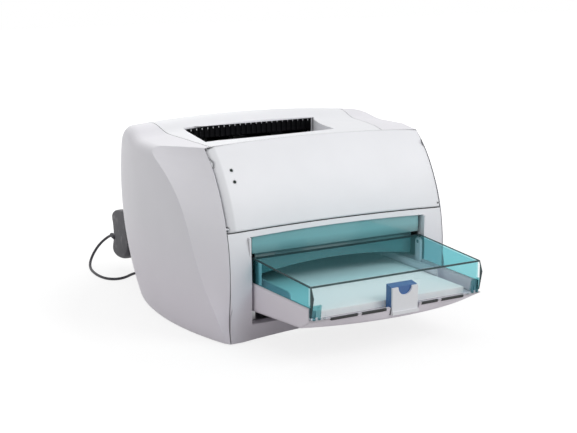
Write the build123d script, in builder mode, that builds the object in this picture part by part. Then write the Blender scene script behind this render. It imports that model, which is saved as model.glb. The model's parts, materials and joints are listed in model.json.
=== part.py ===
import os
from math import acos, atan2, cos, degrees, hypot, pi, radians, sin, sqrt, tan

from build123d import *

os.makedirs("parts", exist_ok=True)

# Desktop laser printer. X runs to the right, Y to the back, Z up from the table.
# All sizes are in millimetres. The origin is under the middle of the printer.

# Outer form of the housing
body_width = 415.0
top_height = 252.0
rear_y = 243.5
front_y = -112.5
belly_height = 160.0
belly_y = 25.0
side_profile_radius = 580.0
side_plan_radius = 450.0
crown_radius = 1800.0
crown_half_angle = 8.0
deck_height = 243.5
lip_height = 240.4
lip_fall = 3.7
lip_slope = 0.024
lip_start_y = -110.0
lip_end_y = 86.0
hump_radius = 96.0
hump_crest_y = 130.0
front_bend_height = 85.0
front_bend_radius = 211.0
shoulder_radius = 16.0
wall = 2.5
skirt_height = 1.5
form_low = -20.0
form_high = 276.0
far = 320.0

# Seams between the covers
seam_gap = 0.8
door_seam_gap = 1.4
front_half_width = 160.0
top_left_x = -152.0
top_right_x = 148.0
left_facet_depths = (0.0, 0.0, 0.0, 0.0, 0.0, 0.0)
right_facet_depths = (5.0, 8.0, 12.0, 15.0, 14.0, 6.0)
top_bend_x = 136.0
top_bend_y = 57.0
top_front_x = 104.0
door_seam_height = 138.8
door_seam_rise = 3.0
door_top_y = -48.5
door_top_bow = 7.0
rear_seam_height = 196.0
rear_half_width = 130.0
front_arch_rise = 6.5
fit_gap = 0.3

# Base and frame
pan_low = 6.0
pan_thickness = 3.0
frame_inner_x = 146.0
frame_thickness = 2.0
bush_radius = 5.0
bush_length = 4.0
shaft_radius = 3.0
running_gap = 0.05
foot_radius = 9.0
rail_width = 9.0

# Rollers: depth position, height and radius
pickup_y, pickup_z, pickup_radius = 38.0, 83.0, 16.0
drum_y, drum_z, drum_radius = 100.0, 106.0, 12.0
transfer_radius = 7.5
heat_y, heat_z, heat_radius = 165.0, 118.0, 12.0
exit_y, exit_z, exit_radius = 114.0, 215.0, 7.0
pinch_radius = 5.5
nip_gap = 0.3
drum_half_length = 118.0
fuser_half_length = 130.0
transfer_z = drum_z - drum_radius - transfer_radius - nip_gap
pressure_z = heat_z - 2 * heat_radius - nip_gap
pinch_z = exit_z + exit_radius + pinch_radius + nip_gap

# Gears and belt
gear_x = frame_inner_x + frame_thickness + 2.0
gear_width = 6.0
tooth_addendum = 0.8
tooth_dedendum = 1.15
tooth_width = 1.3
drum_teeth = 40
idler_teeth = 36
roller_teeth = 28
pinion_teeth = 12
pinion_direction = 135.0
pulley_x = gear_x + gear_width + 2.0
pulley_width = 5.0
pulley_radius = 9.0
belt_thickness = 1.5

# Paper tray
tray_half_width = 126.5
tray_front_half_width = 123.0
tray_wall = 3.0
tray_mouth_y = -107.0
tray_front_y = -241.0
tray_rear_y = 58.5
tray_bottom = 38.0
tray_toe_z = 44.0
tray_top = 74.0
tray_floor = 56.9
rim_top = 60.0
lid_wall = 2.2
lid_axis_y = -112.0
lid_axis_z = 98.0
paper_width = 215.9
paper_length = 279.4
paper_rear_y = 52.9
paper_thickness = 9.4

opening_half_width = 130.0
opening_low = 22.5
opening_margin = 7.0

# Output bin
bin_front_y = -13.0
bin_front_bow = 9.0
bin_left_x = -142.0
bin_right_x = 50.0
bin_rear_left_x = -124.0
bin_rear_right_x = 78.0
bin_rear_y = 88.0
bin_front_floor = 232.0
bin_rear_floor = 204.0
tub_wall = 2.2


def front_surface(height):
    # Depth position of the front surface at a height.
    rise = max(height - front_bend_height, 0.0)
    return front_y + front_bend_radius - sqrt(front_bend_radius**2 - rise**2)


def side_surface(depth, height):
    # Half width of the rounded side at a depth position and a height.
    slope = side_profile_radius - sqrt(side_profile_radius**2 - (height - belly_height) ** 2)
    radius = side_plan_radius - slope
    return body_width / 2 - side_plan_radius + sqrt(radius**2 - (depth - belly_y) ** 2)


def block(low, high):
    # A block between two opposite corners.
    with BuildPart() as solid:
        with Locations(tuple((a + b) / 2 for a, b in zip(low, high))):
            Box(*[b - a for a, b in zip(low, high)])
    return solid.part


def plan_block(points, low, high):
    # An upright block with the given outline in plan.
    with BuildPart() as solid:
        with BuildSketch(Plane.XY.offset(low)):
            with BuildLine():
                Polyline(*points, close=True)
            make_face()
        extrude(amount=high - low)
    return solid.part


def side_block(points, low, high):
    # A block along X with the given outline in depth and height.
    with BuildPart() as solid:
        with BuildSketch(Plane.YZ.offset(low)):
            with BuildLine():
                Polyline(*points, close=True)
            make_face()
        extrude(amount=high - low)
    return solid.part


def rod(radius, low, high, depth, height):
    # A round rod along X.
    with BuildPart() as solid:
        with BuildSketch(Plane.YZ.offset(low)):
            with Locations((depth, height)):
                Circle(radius)
        extrude(amount=high - low)
    return solid.part


def barrel(inset):
    # The rounded right side as a barrel that turns about an upright axis.
    def reach(height):
        rise = height - belly_height
        return body_width / 2 - side_profile_radius + sqrt((side_profile_radius - inset) ** 2 - rise**2)

    axis_x = body_width / 2 - side_plan_radius
    with BuildPart() as tool:
        with BuildSketch(Plane.XZ.offset(-belly_y)):
            with BuildLine():
                Line((axis_x, form_low), (reach(form_low), form_low))
                ThreePointArc(
                    (reach(form_low), form_low),
                    (body_width / 2 - inset, belly_height),
                    (reach(form_high), form_high),
                )
                Line((reach(form_high), form_high), (axis_x, form_high))
                Line((axis_x, form_high), (axis_x, form_low))
            make_face()
        revolve(axis=Axis((axis_x, belly_y, 0), (0, 0, 1)))
    return tool.part


def facet_tool(inset, depths):
    # The wedge outside the flat front part of the right side, from the front seam to the crease.
    # Each depth draws the facet in at one height.
    creases = (
        (0.0, -104.0),
        (70.0, -92.0),
        (139.0, -73.0),
        (181.0, -50.0),
        (206.0, -20.0),
        (262.0, 80.0),
    )
    shift = inset / sqrt(2)
    with BuildPart() as tool:
        for (height, crease_y), depth in zip(creases, depths):
            start = (front_half_width + seam_gap - shift, front_surface(height) + shift)
            crease = (side_surface(crease_y, height) - shift - depth, crease_y + shift)
            run = (crease[0] - start[0], crease[1] - start[1])
            low = (start[0] - 0.2 * run[0], start[1] - 0.2 * run[1])
            high = (crease[0] + 0.8 * run[0], crease[1] + 0.8 * run[1])
            with BuildSketch(Plane.XY.offset(height)):
                with BuildLine():
                    Polyline(low, high, (high[0] + 30.0, low[1] - 60.0), close=True)
                make_face()
        loft()
    return tool.part


def front_tool(inset):
    # Everything in front of the front surface.
    radius = front_bend_radius - inset
    centre_y = front_y + front_bend_radius
    middle = (form_high - front_bend_height) / 2
    middle_y = centre_y - sqrt(radius**2 - middle**2)
    top_y = centre_y - sqrt(radius**2 - (2 * middle) ** 2)
    with BuildPart() as tool:
        with BuildSketch(Plane.YZ.offset(-far)):
            with BuildLine():
                Line((front_y + inset, form_low), (front_y + inset, front_bend_height))
                ThreePointArc(
                    (front_y + inset, front_bend_height),
                    (middle_y, front_bend_height + middle),
                    (top_y, form_high),
                )
                Line((top_y, form_high), (-far, form_high))
                Line((-far, form_high), (-far, form_low))
                Line((-far, form_low), (front_y + inset, form_low))
            make_face()
        extrude(amount=2 * far)
    return tool.part


def lip_tool(inset):
    # Everything above the flatter deck between the cartridge door and the output bin.
    reach = front_half_width + 5.0
    with BuildPart() as tool:
        for depth in (lip_start_y, lip_end_y):
            crest = lip_height + lip_slope * (depth - door_top_y) - inset
            with BuildSketch(Plane.XZ.offset(-depth)):
                with BuildLine():
                    ThreePointArc((-reach, crest - lip_fall), (0, crest), (reach, crest - lip_fall))
                    Line((reach, crest - lip_fall), (reach, form_high))
                    Line((reach, form_high), (-reach, form_high))
                    Line((-reach, form_high), (-reach, crest - lip_fall))
                make_face()
        loft(ruled=True)
    return tool.part


def body_form(inset):
    # The closed outer form, or the same form set in by a wall.
    axis_height = top_height - crown_radius
    rear_radius = rear_y - hump_crest_y
    climb = acos(1 - (top_height - deck_height) / (2 * hump_radius))
    foot_y = hump_crest_y - 2 * hump_radius * sin(climb)
    deck_z = deck_height - axis_height
    floor_z = form_low - axis_height
    tilt = radians(crown_half_angle)
    start = Plane(origin=(0, 0, axis_height), x_dir=(0, 1, 0), z_dir=(cos(tilt), 0, sin(tilt)))
    right = barrel(inset)
    right_wedge = facet_tool(inset, right_facet_depths)
    left_wedge = facet_tool(inset, left_facet_depths)
    lip = lip_tool(inset)
    with BuildPart() as form:
        with BuildSketch(start):
            with BuildLine():
                Line((-far, deck_z - inset), (foot_y, deck_z - inset))
                CenterArc((foot_y, deck_z + hump_radius), hump_radius + inset, 270, degrees(climb))
                CenterArc(
                    (hump_crest_y, crown_radius - hump_radius),
                    hump_radius - inset,
                    90 + degrees(climb),
                    -degrees(climb),
                )
                CenterArc((hump_crest_y, crown_radius - rear_radius), rear_radius - inset, 90, -90)
                Line((rear_y - inset, crown_radius - rear_radius), (rear_y - inset, floor_z))
                Line((rear_y - inset, floor_z), (-far, floor_z))
                Line((-far, floor_z), (-far, deck_z - inset))
            make_face()
        revolve(axis=Axis((0, 0, axis_height), (0, 1, 0)), revolution_arc=2 * crown_half_angle)
        add(right, mode=Mode.INTERSECT)
        mirror(right, about=Plane.YZ, mode=Mode.INTERSECT)
        upper_edges = form.edges().filter_by(lambda edge: edge.center().Z > 200)
        fillet(upper_edges.filter_by(lambda edge: abs(edge.center().X) > 140), shoulder_radius - inset)
        add(front_tool(inset), mode=Mode.SUBTRACT)
        add(right_wedge, mode=Mode.SUBTRACT)
        mirror(left_wedge, about=Plane.YZ, mode=Mode.SUBTRACT)
        add(lip, mode=Mode.SUBTRACT)
    return form.part


def above_seam(offset):
    # The space above the arched seam between the cartridge door and the front panel.
    low = door_seam_height + offset
    reach = front_half_width + wall
    with BuildPart() as space:
        with BuildSketch(Plane.XZ):
            with BuildLine():
                ThreePointArc((-reach, low), (0, low + door_seam_rise), (reach, low))
                Line((reach, low), (reach, form_high))
                Line((reach, form_high), (-reach, form_high))
                Line((-reach, form_high), (-reach, low))
            make_face()
        extrude(amount=far)
    return space.part


def before_bin(offset):
    # The space in front of the bowed seam between the cartridge door and the top cover.
    reach = front_half_width + seam_gap / 2
    edge = door_top_y + offset
    with BuildPart() as space:
        with BuildSketch(Plane.XY.offset(form_low)):
            with BuildLine():
                ThreePointArc((-reach, edge), (0, edge + door_top_bow), (reach, edge))
                Line((reach, edge), (reach, -far))
                Line((reach, -far), (-reach, -far))
                Line((-reach, -far), (-reach, edge))
            make_face()
        extrude(amount=form_high - form_low)
    return space.part


def bin_space(grow):
    # The recess of the output bin, or the same recess with its tub wall round it.
    slope = (bin_front_floor - bin_rear_floor) / (bin_rear_y - bin_front_y)
    lip_y = bin_front_y - bin_front_bow
    rear_floor = bin_rear_floor - slope * grow
    front_floor = bin_front_floor + slope * (bin_front_bow + grow)
    middle_x = (bin_left_x + bin_right_x) / 2
    with BuildPart() as space:
        with BuildSketch(Plane.XY.offset(bin_rear_floor - 4 * tub_wall)):
            with BuildLine():
                Line((bin_left_x, bin_front_y), (bin_rear_left_x, bin_rear_y))
                Line((bin_rear_left_x, bin_rear_y), (bin_rear_right_x, bin_rear_y))
                ThreePointArc((bin_rear_right_x, bin_rear_y), (57.0, 38.0), (bin_right_x, bin_front_y))
                ThreePointArc((bin_right_x, bin_front_y), (middle_x, lip_y), (bin_left_x, bin_front_y))
            make_face()
            offset(amount=grow, kind=Kind.INTERSECTION)
        extrude(amount=form_high - bin_rear_floor)
        with BuildSketch(Plane.YZ.offset(-far)):
            with BuildLine():
                Polyline(
                    (bin_rear_y + grow, rear_floor - grow),
                    (lip_y - grow, front_floor - grow),
                    (lip_y - grow, 0.0),
                    (bin_rear_y + grow, 0.0),
                    close=True,
                )
            make_face()
        extrude(amount=2 * far, mode=Mode.SUBTRACT)
    return space.part


def top_space(offset):
    # The space inside the top cover's seams with the side covers and the rear cover.
    left, right = top_left_x - offset, top_right_x + offset
    front_right = top_front_x + offset
    low = rear_seam_height - offset
    with BuildPart() as space:
        with BuildSketch(Plane.XY.offset(low)):
            with BuildLine():
                Line((left, -far), (left, far))
                Line((left, far), (right, far))
                Line((right, far), (right, hump_crest_y))
                ThreePointArc(
                    (right, hump_crest_y),
                    (top_bend_x + offset, top_bend_y),
                    (front_right, door_top_y),
                )
                Line((front_right, door_top_y), (front_right, -far))
                Line((front_right, -far), (left, -far))
            make_face()
        extrude(amount=form_high - low)
    return space.part


def largest(part):
    # The largest solid of a part, without slivers left by cutting.
    return part.solids().sort_by(SortBy.VOLUME)[-1]


# Shell of the housing, cut along the seams
outer_form = body_form(0.0)
inner_room = body_form(wall + fit_gap)
half_gap = seam_gap / 2
with BuildPart() as shell:
    add(outer_form)
    add(body_form(wall), mode=Mode.SUBTRACT)
    add(block((-far, -far, skirt_height), (far, far, form_high)), mode=Mode.INTERSECT)

front_zone = before_bin(seam_gap)
rear_zone = block(
    (-rear_half_width - half_gap, hump_crest_y, form_low),
    (rear_half_width + half_gap, far, rear_seam_height + half_gap),
)
top_zone = top_space(half_gap)
top_room = top_space(-half_gap)
with BuildPart() as side_shells:
    add(shell.part)
    add(front_zone, mode=Mode.SUBTRACT)
    add(top_zone, mode=Mode.SUBTRACT)
    add(rear_zone, mode=Mode.SUBTRACT)

# Side covers, with the bosses and pins that the cartridge door turns on
door_axis_y = -102.6
door_axis_z = 144.0
door_pin_radius = 1.2
door_pin_length = 4.0
pin_root = 0.5
boss_length = 6.0
boss_start = front_half_width + half_gap


def door_boss(side):
    # The boss behind the door's lower corner, with its pin pointing inwards.
    near, away = side * boss_start, side * (boss_start + boss_length)
    root, tip = side * (boss_start + pin_root), side * (boss_start - door_pin_length)
    solid = block(
        (min(near, away), door_axis_y - 1.5, door_axis_z - 4.5),
        (max(near, away), door_axis_y + 6.0, door_axis_z + 4.5),
    )
    pin = rod(door_pin_radius, min(root, tip), max(root, tip), door_axis_y, door_axis_z)
    return (solid & outer_form) + pin


left_boss = door_boss(-1)
right_boss = door_boss(1)
port_x = -136.5
port_width = 10.0
port_low = 52.0
port_high = 92.0
with BuildPart() as left_side:
    add(side_shells.part)
    add(block((-far, -far, form_low), (0, far, form_high)), mode=Mode.INTERSECT)
    add(left_boss)
    add(
        block(
            (port_x - port_width / 2, rear_y - 4 * wall, port_low),
            (port_x + port_width / 2, rear_y + wall, port_high),
        ),
        mode=Mode.SUBTRACT,
    )
left_side_cover = largest(left_side.part)
left_side_cover.label = "left_side_cover"
export_step(left_side_cover, "parts/left_side_cover.step")

with BuildPart() as right_side:
    add(side_shells.part)
    add(block((0, -far, form_low), (far, far, form_high)), mode=Mode.INTERSECT)
    add(right_boss)
right_side_cover = largest(right_side.part)
right_side_cover.label = "right_side_cover"
export_step(right_side_cover, "parts/right_side_cover.step")

# Top cover with the paper bin, and the paper exit in the bin's rear wall
exit_low = 206.0
exit_high = 242.0
exit_left = -124.0
exit_right = 75.0
with BuildPart() as bin_tub:
    add(bin_space(tub_wall))
    add(outer_form, mode=Mode.INTERSECT)
    add(top_room, mode=Mode.INTERSECT)
    add(bin_space(0.0), mode=Mode.SUBTRACT)
with BuildPart() as top_cover:
    add(shell.part)
    add(top_room, mode=Mode.INTERSECT)
    add(front_zone, mode=Mode.SUBTRACT)
    add(bin_space(0.0), mode=Mode.SUBTRACT)
    add(bin_tub.part)
    add(
        block(
            (exit_left, bin_rear_y - 1.0, exit_low),
            (exit_right, bin_rear_y + 2 * tub_wall, exit_high),
        ),
        mode=Mode.SUBTRACT,
    )
top_cover.part.label = "top_cover"
export_step(top_cover.part, "parts/top_cover.step")

# Black guide in the paper exit, with upright ribs and a slot for the sheet
guide_y = bin_rear_y + tub_wall
guide_thickness = 2.0
rib_pitch = 8.0
rib_width = 1.4
slot_low = exit_z + exit_radius - 3.0
slot_high = pinch_z - pinch_radius + 4.0
with BuildPart() as exit_guide:
    add(
        block(
            (exit_left - 3.0, guide_y, exit_low - 1.0),
            (exit_right + 3.0, guide_y + guide_thickness, exit_high + 3.0),
        )
    )
    rib_count = int((exit_right - exit_left) / rib_pitch)
    with BuildSketch(Plane.XY.offset(exit_low + fit_gap)):
        with Locations(((exit_left + exit_right) / 2, guide_y - tub_wall / 2)):
            with GridLocations(rib_pitch, 1, rib_count, 1):
                Rectangle(rib_width, tub_wall)
    extrude(amount=exit_high - exit_low - 1.0)
    add(
        block(
            (exit_left + 3.0, guide_y - 2 * tub_wall, slot_low),
            (exit_right - 3.0, guide_y + 2 * guide_thickness, slot_high),
        ),
        mode=Mode.SUBTRACT,
    )
    add(inner_room, mode=Mode.INTERSECT)
exit_guide.part.label = "exit_guide"
export_step(exit_guide.part, "parts/exit_guide.step")

# Cartridge door with a lug and a bore at each lower corner, and the status lights in it
lug_width = 5.0
lug_bore = 3.6
grip_height = 220.0
grip_radius = 14.0
grip_depth = 1.6
light_places = ((-136.0, 210.0), (-136.0, 197.0))
light_radius = 2.0
light_length = 4.0


def door_plane(x, height):
    # A plane on the door's surface, facing straight out.
    angle = atan2(height - front_bend_height, front_surface(height) - front_y - front_bend_radius)
    out = (0.0, cos(angle), sin(angle))
    return Plane(origin=(x, front_surface(height), height), x_dir=(1, 0, 0), z_dir=out)


def door_lug(side):
    # The lug behind the door's lower corner, with the bore for the pin.
    edge = side * (front_half_width - half_gap)
    inner, bore_end = edge - side * lug_width, edge - side * lug_bore
    solid = block(
        (min(edge, inner), door_axis_y - 1.5, door_axis_z - 2.4),
        (max(edge, inner), door_axis_y + 2.0, door_axis_z + 6.0),
    )
    return solid & outer_form, rod(
        door_pin_radius + running_gap,
        min(edge + side, bore_end),
        max(edge + side, bore_end),
        door_axis_y,
        door_axis_z,
    )


lugs = [door_lug(-1), door_lug(1)]
with BuildPart() as cartridge_door:
    add(shell.part)
    add(
        block((-front_half_width + half_gap, -far, 0), (front_half_width - half_gap, 0, form_high)),
        mode=Mode.INTERSECT,
    )
    add(above_seam(door_seam_gap / 2), mode=Mode.INTERSECT)
    add(before_bin(0.0), mode=Mode.INTERSECT)
    for lug, bore in lugs:
        add(lug)
        add(bore, mode=Mode.SUBTRACT)
    for side in (-1, 1):
        grip_plane = door_plane(side * front_half_width, grip_height)
        with Locations(grip_plane.offset(grip_radius - grip_depth)):
            Sphere(grip_radius, mode=Mode.SUBTRACT)
    for x, height in light_places:
        with BuildSketch(door_plane(x, height)):
            Circle(light_radius)
        extrude(amount=wall * 2, both=True, mode=Mode.SUBTRACT)
cartridge_door.part.label = "cartridge_door"
export_step(cartridge_door.part, "parts/cartridge_door.step")

with BuildPart() as status_lights:
    for x, height in light_places:
        with BuildSketch(door_plane(x, height).offset(0.4)):
            Circle(light_radius)
        extrude(amount=-light_length)
status_lights.part.label = "status_lights"
export_step(status_lights.part, "parts/status_lights.step")

# Front panel round the mouth of the tray
return_depth = 15.0
with BuildPart() as tray_mouth:
    with BuildSketch(Plane.XZ):
        with BuildLine():
            top = door_seam_height - opening_margin
            Line((-opening_half_width, opening_low), (-opening_half_width, top))
            ThreePointArc(
                (-opening_half_width, top),
                (0, top + door_seam_rise),
                (opening_half_width, top),
            )
            Line((opening_half_width, top), (opening_half_width, opening_low))
            Line((opening_half_width, opening_low), (-opening_half_width, opening_low))
        make_face()
    extrude(amount=far)
with BuildPart() as arch_cut:
    with BuildSketch(Plane.XZ):
        with BuildLine():
            ThreePointArc(
                (-front_half_width, 0),
                (0, skirt_height + front_arch_rise),
                (front_half_width, 0),
            )
            Line((front_half_width, 0), (-front_half_width, 0))
        make_face()
    extrude(amount=far)
with BuildPart() as front_panel:
    add(shell.part)
    add(
        block((-front_half_width + half_gap, -far, 0), (front_half_width - half_gap, -90.0, form_high)),
        mode=Mode.INTERSECT,
    )
    add(above_seam(-door_seam_gap / 2), mode=Mode.SUBTRACT)
    add(
        block(
            (-opening_half_width - wall, front_y + wall / 2, opening_low - wall),
            (opening_half_width + wall, front_y + return_depth, door_seam_height - opening_margin),
        )
    )
    add(tray_mouth.part, mode=Mode.SUBTRACT)
    add(arch_cut.part, mode=Mode.SUBTRACT)
front_panel.part.label = "front_panel"
export_step(front_panel.part, "parts/front_panel.step")

# Rear door in the rear cover, hinged at its lower edge
rear_door_half_width = 115.0
rear_door_low = 79.0
rear_door_high = 138.0
rear_axis_y = rear_y - 2.0
rear_axis_z = rear_door_low + 1.2
rear_pin_radius = 1.2
rear_pin_length = 3.0
inlet_x = 113.5
inlet_width = 27.0
inlet_low = 30.0
inlet_high = 50.0
switch_x = 120.0
switch_width = 13.0
switch_low = 58.0
switch_high = 72.0
switch_axis_y = rear_y - 4.3
switch_axis_z = (switch_low + switch_high) / 2
switch_pin_radius = 1.0
screw_radius = 1.5
screw_head_radius = 3.2
screw_length = 10.0
screw_places = ((-118.0, 16.0), (118.0, 16.0), (-118.0, 160.0), (118.0, 160.0))
with BuildPart() as rear_cover:
    add(shell.part)
    add(
        block(
            (-rear_half_width + half_gap, hump_crest_y, form_low),
            (rear_half_width - half_gap, far, rear_seam_height - half_gap),
        ),
        mode=Mode.INTERSECT,
    )
    for side in (-1, 1):
        near = side * (rear_door_half_width + 0.4)
        away = side * (rear_door_half_width + 5.0)
        add(
            block(
                (min(near, away), rear_axis_y - 3.0, rear_axis_z - 4.0),
                (max(near, away), rear_y - 0.5, rear_axis_z + 4.0),
            )
        )
    with BuildSketch(Plane.XZ.offset(-rear_y + wall / 2)):
        with Locations(*screw_places):
            Circle(2 * screw_head_radius)
    extrude(amount=2 * wall)
    add(
        block(
            (switch_x - switch_width / 2 - wall, rear_y - 8.0, switch_low - wall),
            (switch_x + switch_width / 2 + wall, rear_y - wall / 2, switch_high + wall),
        )
    )
    add(
        block(
            (-rear_door_half_width - 0.4, rear_y - 3 * wall, rear_axis_z - 2.6),
            (rear_door_half_width + 0.4, rear_y + wall, rear_door_high + 0.6),
        ),
        mode=Mode.SUBTRACT,
    )
    add(
        rod(
            rear_pin_radius + running_gap,
            -rear_door_half_width - rear_pin_length - 0.6,
            rear_door_half_width + rear_pin_length + 0.6,
            rear_axis_y,
            rear_axis_z,
        ),
        mode=Mode.SUBTRACT,
    )
    add(
        block(
            (inlet_x - inlet_width / 2, rear_y - 3 * wall, inlet_low),
            (inlet_x + inlet_width / 2, rear_y + wall, inlet_high),
        ),
        mode=Mode.SUBTRACT,
    )
    add(
        block(
            (switch_x - switch_width / 2, rear_y - 4 * wall, switch_low),
            (switch_x + switch_width / 2, rear_y + wall, switch_high),
        ),
        mode=Mode.SUBTRACT,
    )
    add(
        rod(
            switch_pin_radius + running_gap,
            switch_x - switch_width / 2 - 2.0,
            switch_x + switch_width / 2 + 2.0,
            switch_axis_y,
            switch_axis_z,
        ),
        mode=Mode.SUBTRACT,
    )
    with BuildSketch(Plane.XZ.offset(-rear_y)):
        with Locations(*screw_places):
            Circle(screw_head_radius + 0.4)
    extrude(amount=wall, mode=Mode.SUBTRACT)
    with BuildSketch(Plane.XZ.offset(-rear_y)):
        with Locations(*screw_places):
            Circle(screw_radius)
    extrude(amount=4 * wall, mode=Mode.SUBTRACT)
rear_cover.part.label = "rear_cover"
export_step(rear_cover.part, "parts/rear_cover.step")

with BuildPart() as cover_screws:
    with BuildSketch(Plane.XZ.offset(-rear_y + wall)):
        with Locations(*screw_places):
            Circle(screw_head_radius)
    extrude(amount=-1.8)
    with BuildSketch(Plane.XZ.offset(-rear_y + wall)):
        with Locations(*screw_places):
            Circle(screw_radius)
    extrude(amount=screw_length)
    with BuildSketch(Plane.XZ.offset(-rear_y + wall - 1.8)):
        with Locations(*screw_places):
            Rectangle(1.0, 4.4)
            Rectangle(4.4, 1.0)
    extrude(amount=1.0, mode=Mode.SUBTRACT)
cover_screws.part.label = "cover_screws"
export_step(cover_screws.part, "parts/cover_screws.step")

with BuildPart() as rear_door:
    add(
        block(
            (-rear_door_half_width, rear_y - wall, rear_door_low),
            (rear_door_half_width, rear_y, rear_door_high),
        )
    )
    fillet(rear_door.edges().filter_by(Axis.Y), 2.0)
    for side in (-1, 1):
        with BuildSketch(Plane.YZ.offset(side * (rear_door_half_width - 4.0))):
            with Locations((rear_axis_y, rear_axis_z)):
                Circle(rear_pin_radius)
        extrude(amount=side * (rear_pin_length + 4.0))
    with BuildSketch(Plane.XZ.offset(-rear_y)):
        with Locations((0, rear_door_high)):
            SlotOverall(30.0, 12.0)
    extrude(amount=1.2, mode=Mode.SUBTRACT)
rear_door.part.label = "rear_door"
export_step(rear_door.part, "parts/rear_door.step")

# Paper tray: floor, side walls and a toe that rises to the front rim
toe_corner_y = -213.0
toe_middle_y = -236.0
toe_half_width = 120.0
rim_inner_y = -236.0
well_front_y = -84.0
well_rear_y = 56.0
well_half_width = 106.0
well_floor = 44.0
pocket_half_width = 110.0
skin = 2.5
ear_radius = 5.0
ear_x = 119.0
lid_pin_radius = 2.5
plate_axis_y = -80.0
plate_axis_z = 55.9
plate_pin_radius = 1.0
notch_left = -12.5
notch_right = 29.5
notch_low = 49.9
rim_slots = ((-96.0, -58.0), (-53.0, -18.0), (33.0, 58.0), (63.0, 97.0))
rim_slot_depth = 3.5
tray_outline = [
    (-tray_half_width, tray_rear_y),
    (-tray_half_width, tray_mouth_y),
    (-tray_front_half_width, tray_front_y),
    (tray_front_half_width, tray_front_y),
    (tray_half_width, tray_mouth_y),
    (tray_half_width, tray_rear_y),
]
tray_inside = [
    (-tray_half_width + tray_wall, well_rear_y),
    (-tray_half_width + tray_wall, tray_mouth_y),
    (-tray_front_half_width + tray_wall, rim_inner_y),
    (tray_front_half_width - tray_wall, rim_inner_y),
    (tray_half_width - tray_wall, tray_mouth_y),
    (tray_half_width - tray_wall, well_rear_y),
]
with BuildPart() as tray_base:
    with BuildSketch(Plane.XY.offset(tray_toe_z)) as toe_outline:
        with BuildLine():
            Line((-toe_half_width, toe_corner_y), (-tray_half_width, tray_mouth_y))
            Line((-tray_half_width, tray_mouth_y), (-tray_half_width, tray_rear_y))
            Line((-tray_half_width, tray_rear_y), (tray_half_width, tray_rear_y))
            Line((tray_half_width, tray_rear_y), (tray_half_width, tray_mouth_y))
            Line((tray_half_width, tray_mouth_y), (toe_half_width, toe_corner_y))
            ThreePointArc(
                (toe_half_width, toe_corner_y),
                (0, toe_middle_y),
                (-toe_half_width, toe_corner_y),
            )
        make_face()
    with BuildSketch(Plane.XY.offset(rim_top)):
        with BuildLine():
            Polyline(*tray_outline, close=True)
        make_face()
    loft(ruled=True)
    extrude(toe_outline.sketch, amount=tray_bottom - tray_toe_z)
    add(plan_block(tray_outline, rim_top, tray_top))
    add(block((-far, -far, rim_top), (far, rim_inner_y, far)), mode=Mode.SUBTRACT)
    toe_slope = (tray_toe_z - tray_bottom) / (toe_corner_y - tray_mouth_y)
    add(
        side_block(
            [
                (tray_mouth_y, tray_bottom),
                (-far, tray_bottom + toe_slope * (-far - tray_mouth_y)),
                (-far, 0.0),
                (tray_mouth_y, 0.0),
            ],
            -far,
            far,
        ),
        mode=Mode.SUBTRACT,
    )
    add(plan_block(tray_inside, tray_floor, far), mode=Mode.SUBTRACT)
    add(
        block(
            (-tray_half_width + tray_wall, well_front_y, tray_floor - 1.0),
            (tray_half_width - tray_wall, far, far),
        ),
        mode=Mode.SUBTRACT,
    )
    add(
        block((-well_half_width, well_front_y, well_floor), (well_half_width, well_rear_y, far)),
        mode=Mode.SUBTRACT,
    )
    add(
        block(
            (-pocket_half_width, toe_corner_y + tray_wall, 0.0),
            (pocket_half_width, well_front_y - tray_wall, tray_floor - skin),
        ),
        mode=Mode.SUBTRACT,
    )
    add(
        block(
            (-pocket_half_width, well_front_y, 0.0),
            (pocket_half_width, well_rear_y - tray_wall, well_floor - skin),
        ),
        mode=Mode.SUBTRACT,
    )
    add(block((notch_left, -far, notch_low), (notch_right, rim_inner_y, far)), mode=Mode.SUBTRACT)
    for left, right in rim_slots:
        add(
            block((left, -far, rim_top - rim_slot_depth), (right, rim_inner_y - 1.5, far)),
            mode=Mode.SUBTRACT,
        )
    for side in (-1, 1):
        near = side * ear_x
        away = side * (tray_half_width - tray_wall)
        add(
            block(
                (min(near, away), lid_axis_y - ear_radius, tray_floor),
                (max(near, away), lid_axis_y + ear_radius, lid_axis_z),
            )
        )
        add(rod(ear_radius, min(near, away), max(near, away), lid_axis_y, lid_axis_z))
    add(rod(lid_pin_radius + running_gap, -far, far, lid_axis_y, lid_axis_z), mode=Mode.SUBTRACT)
    plate_pin_end = well_half_width + 2.0
    add(
        rod(plate_pin_radius + running_gap, -plate_pin_end, plate_pin_end, plate_axis_y, plate_axis_z),
        mode=Mode.SUBTRACT,
    )
tray_base.part.label = "tray_base"
export_step(tray_base.part, "parts/tray_base.step")

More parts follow.
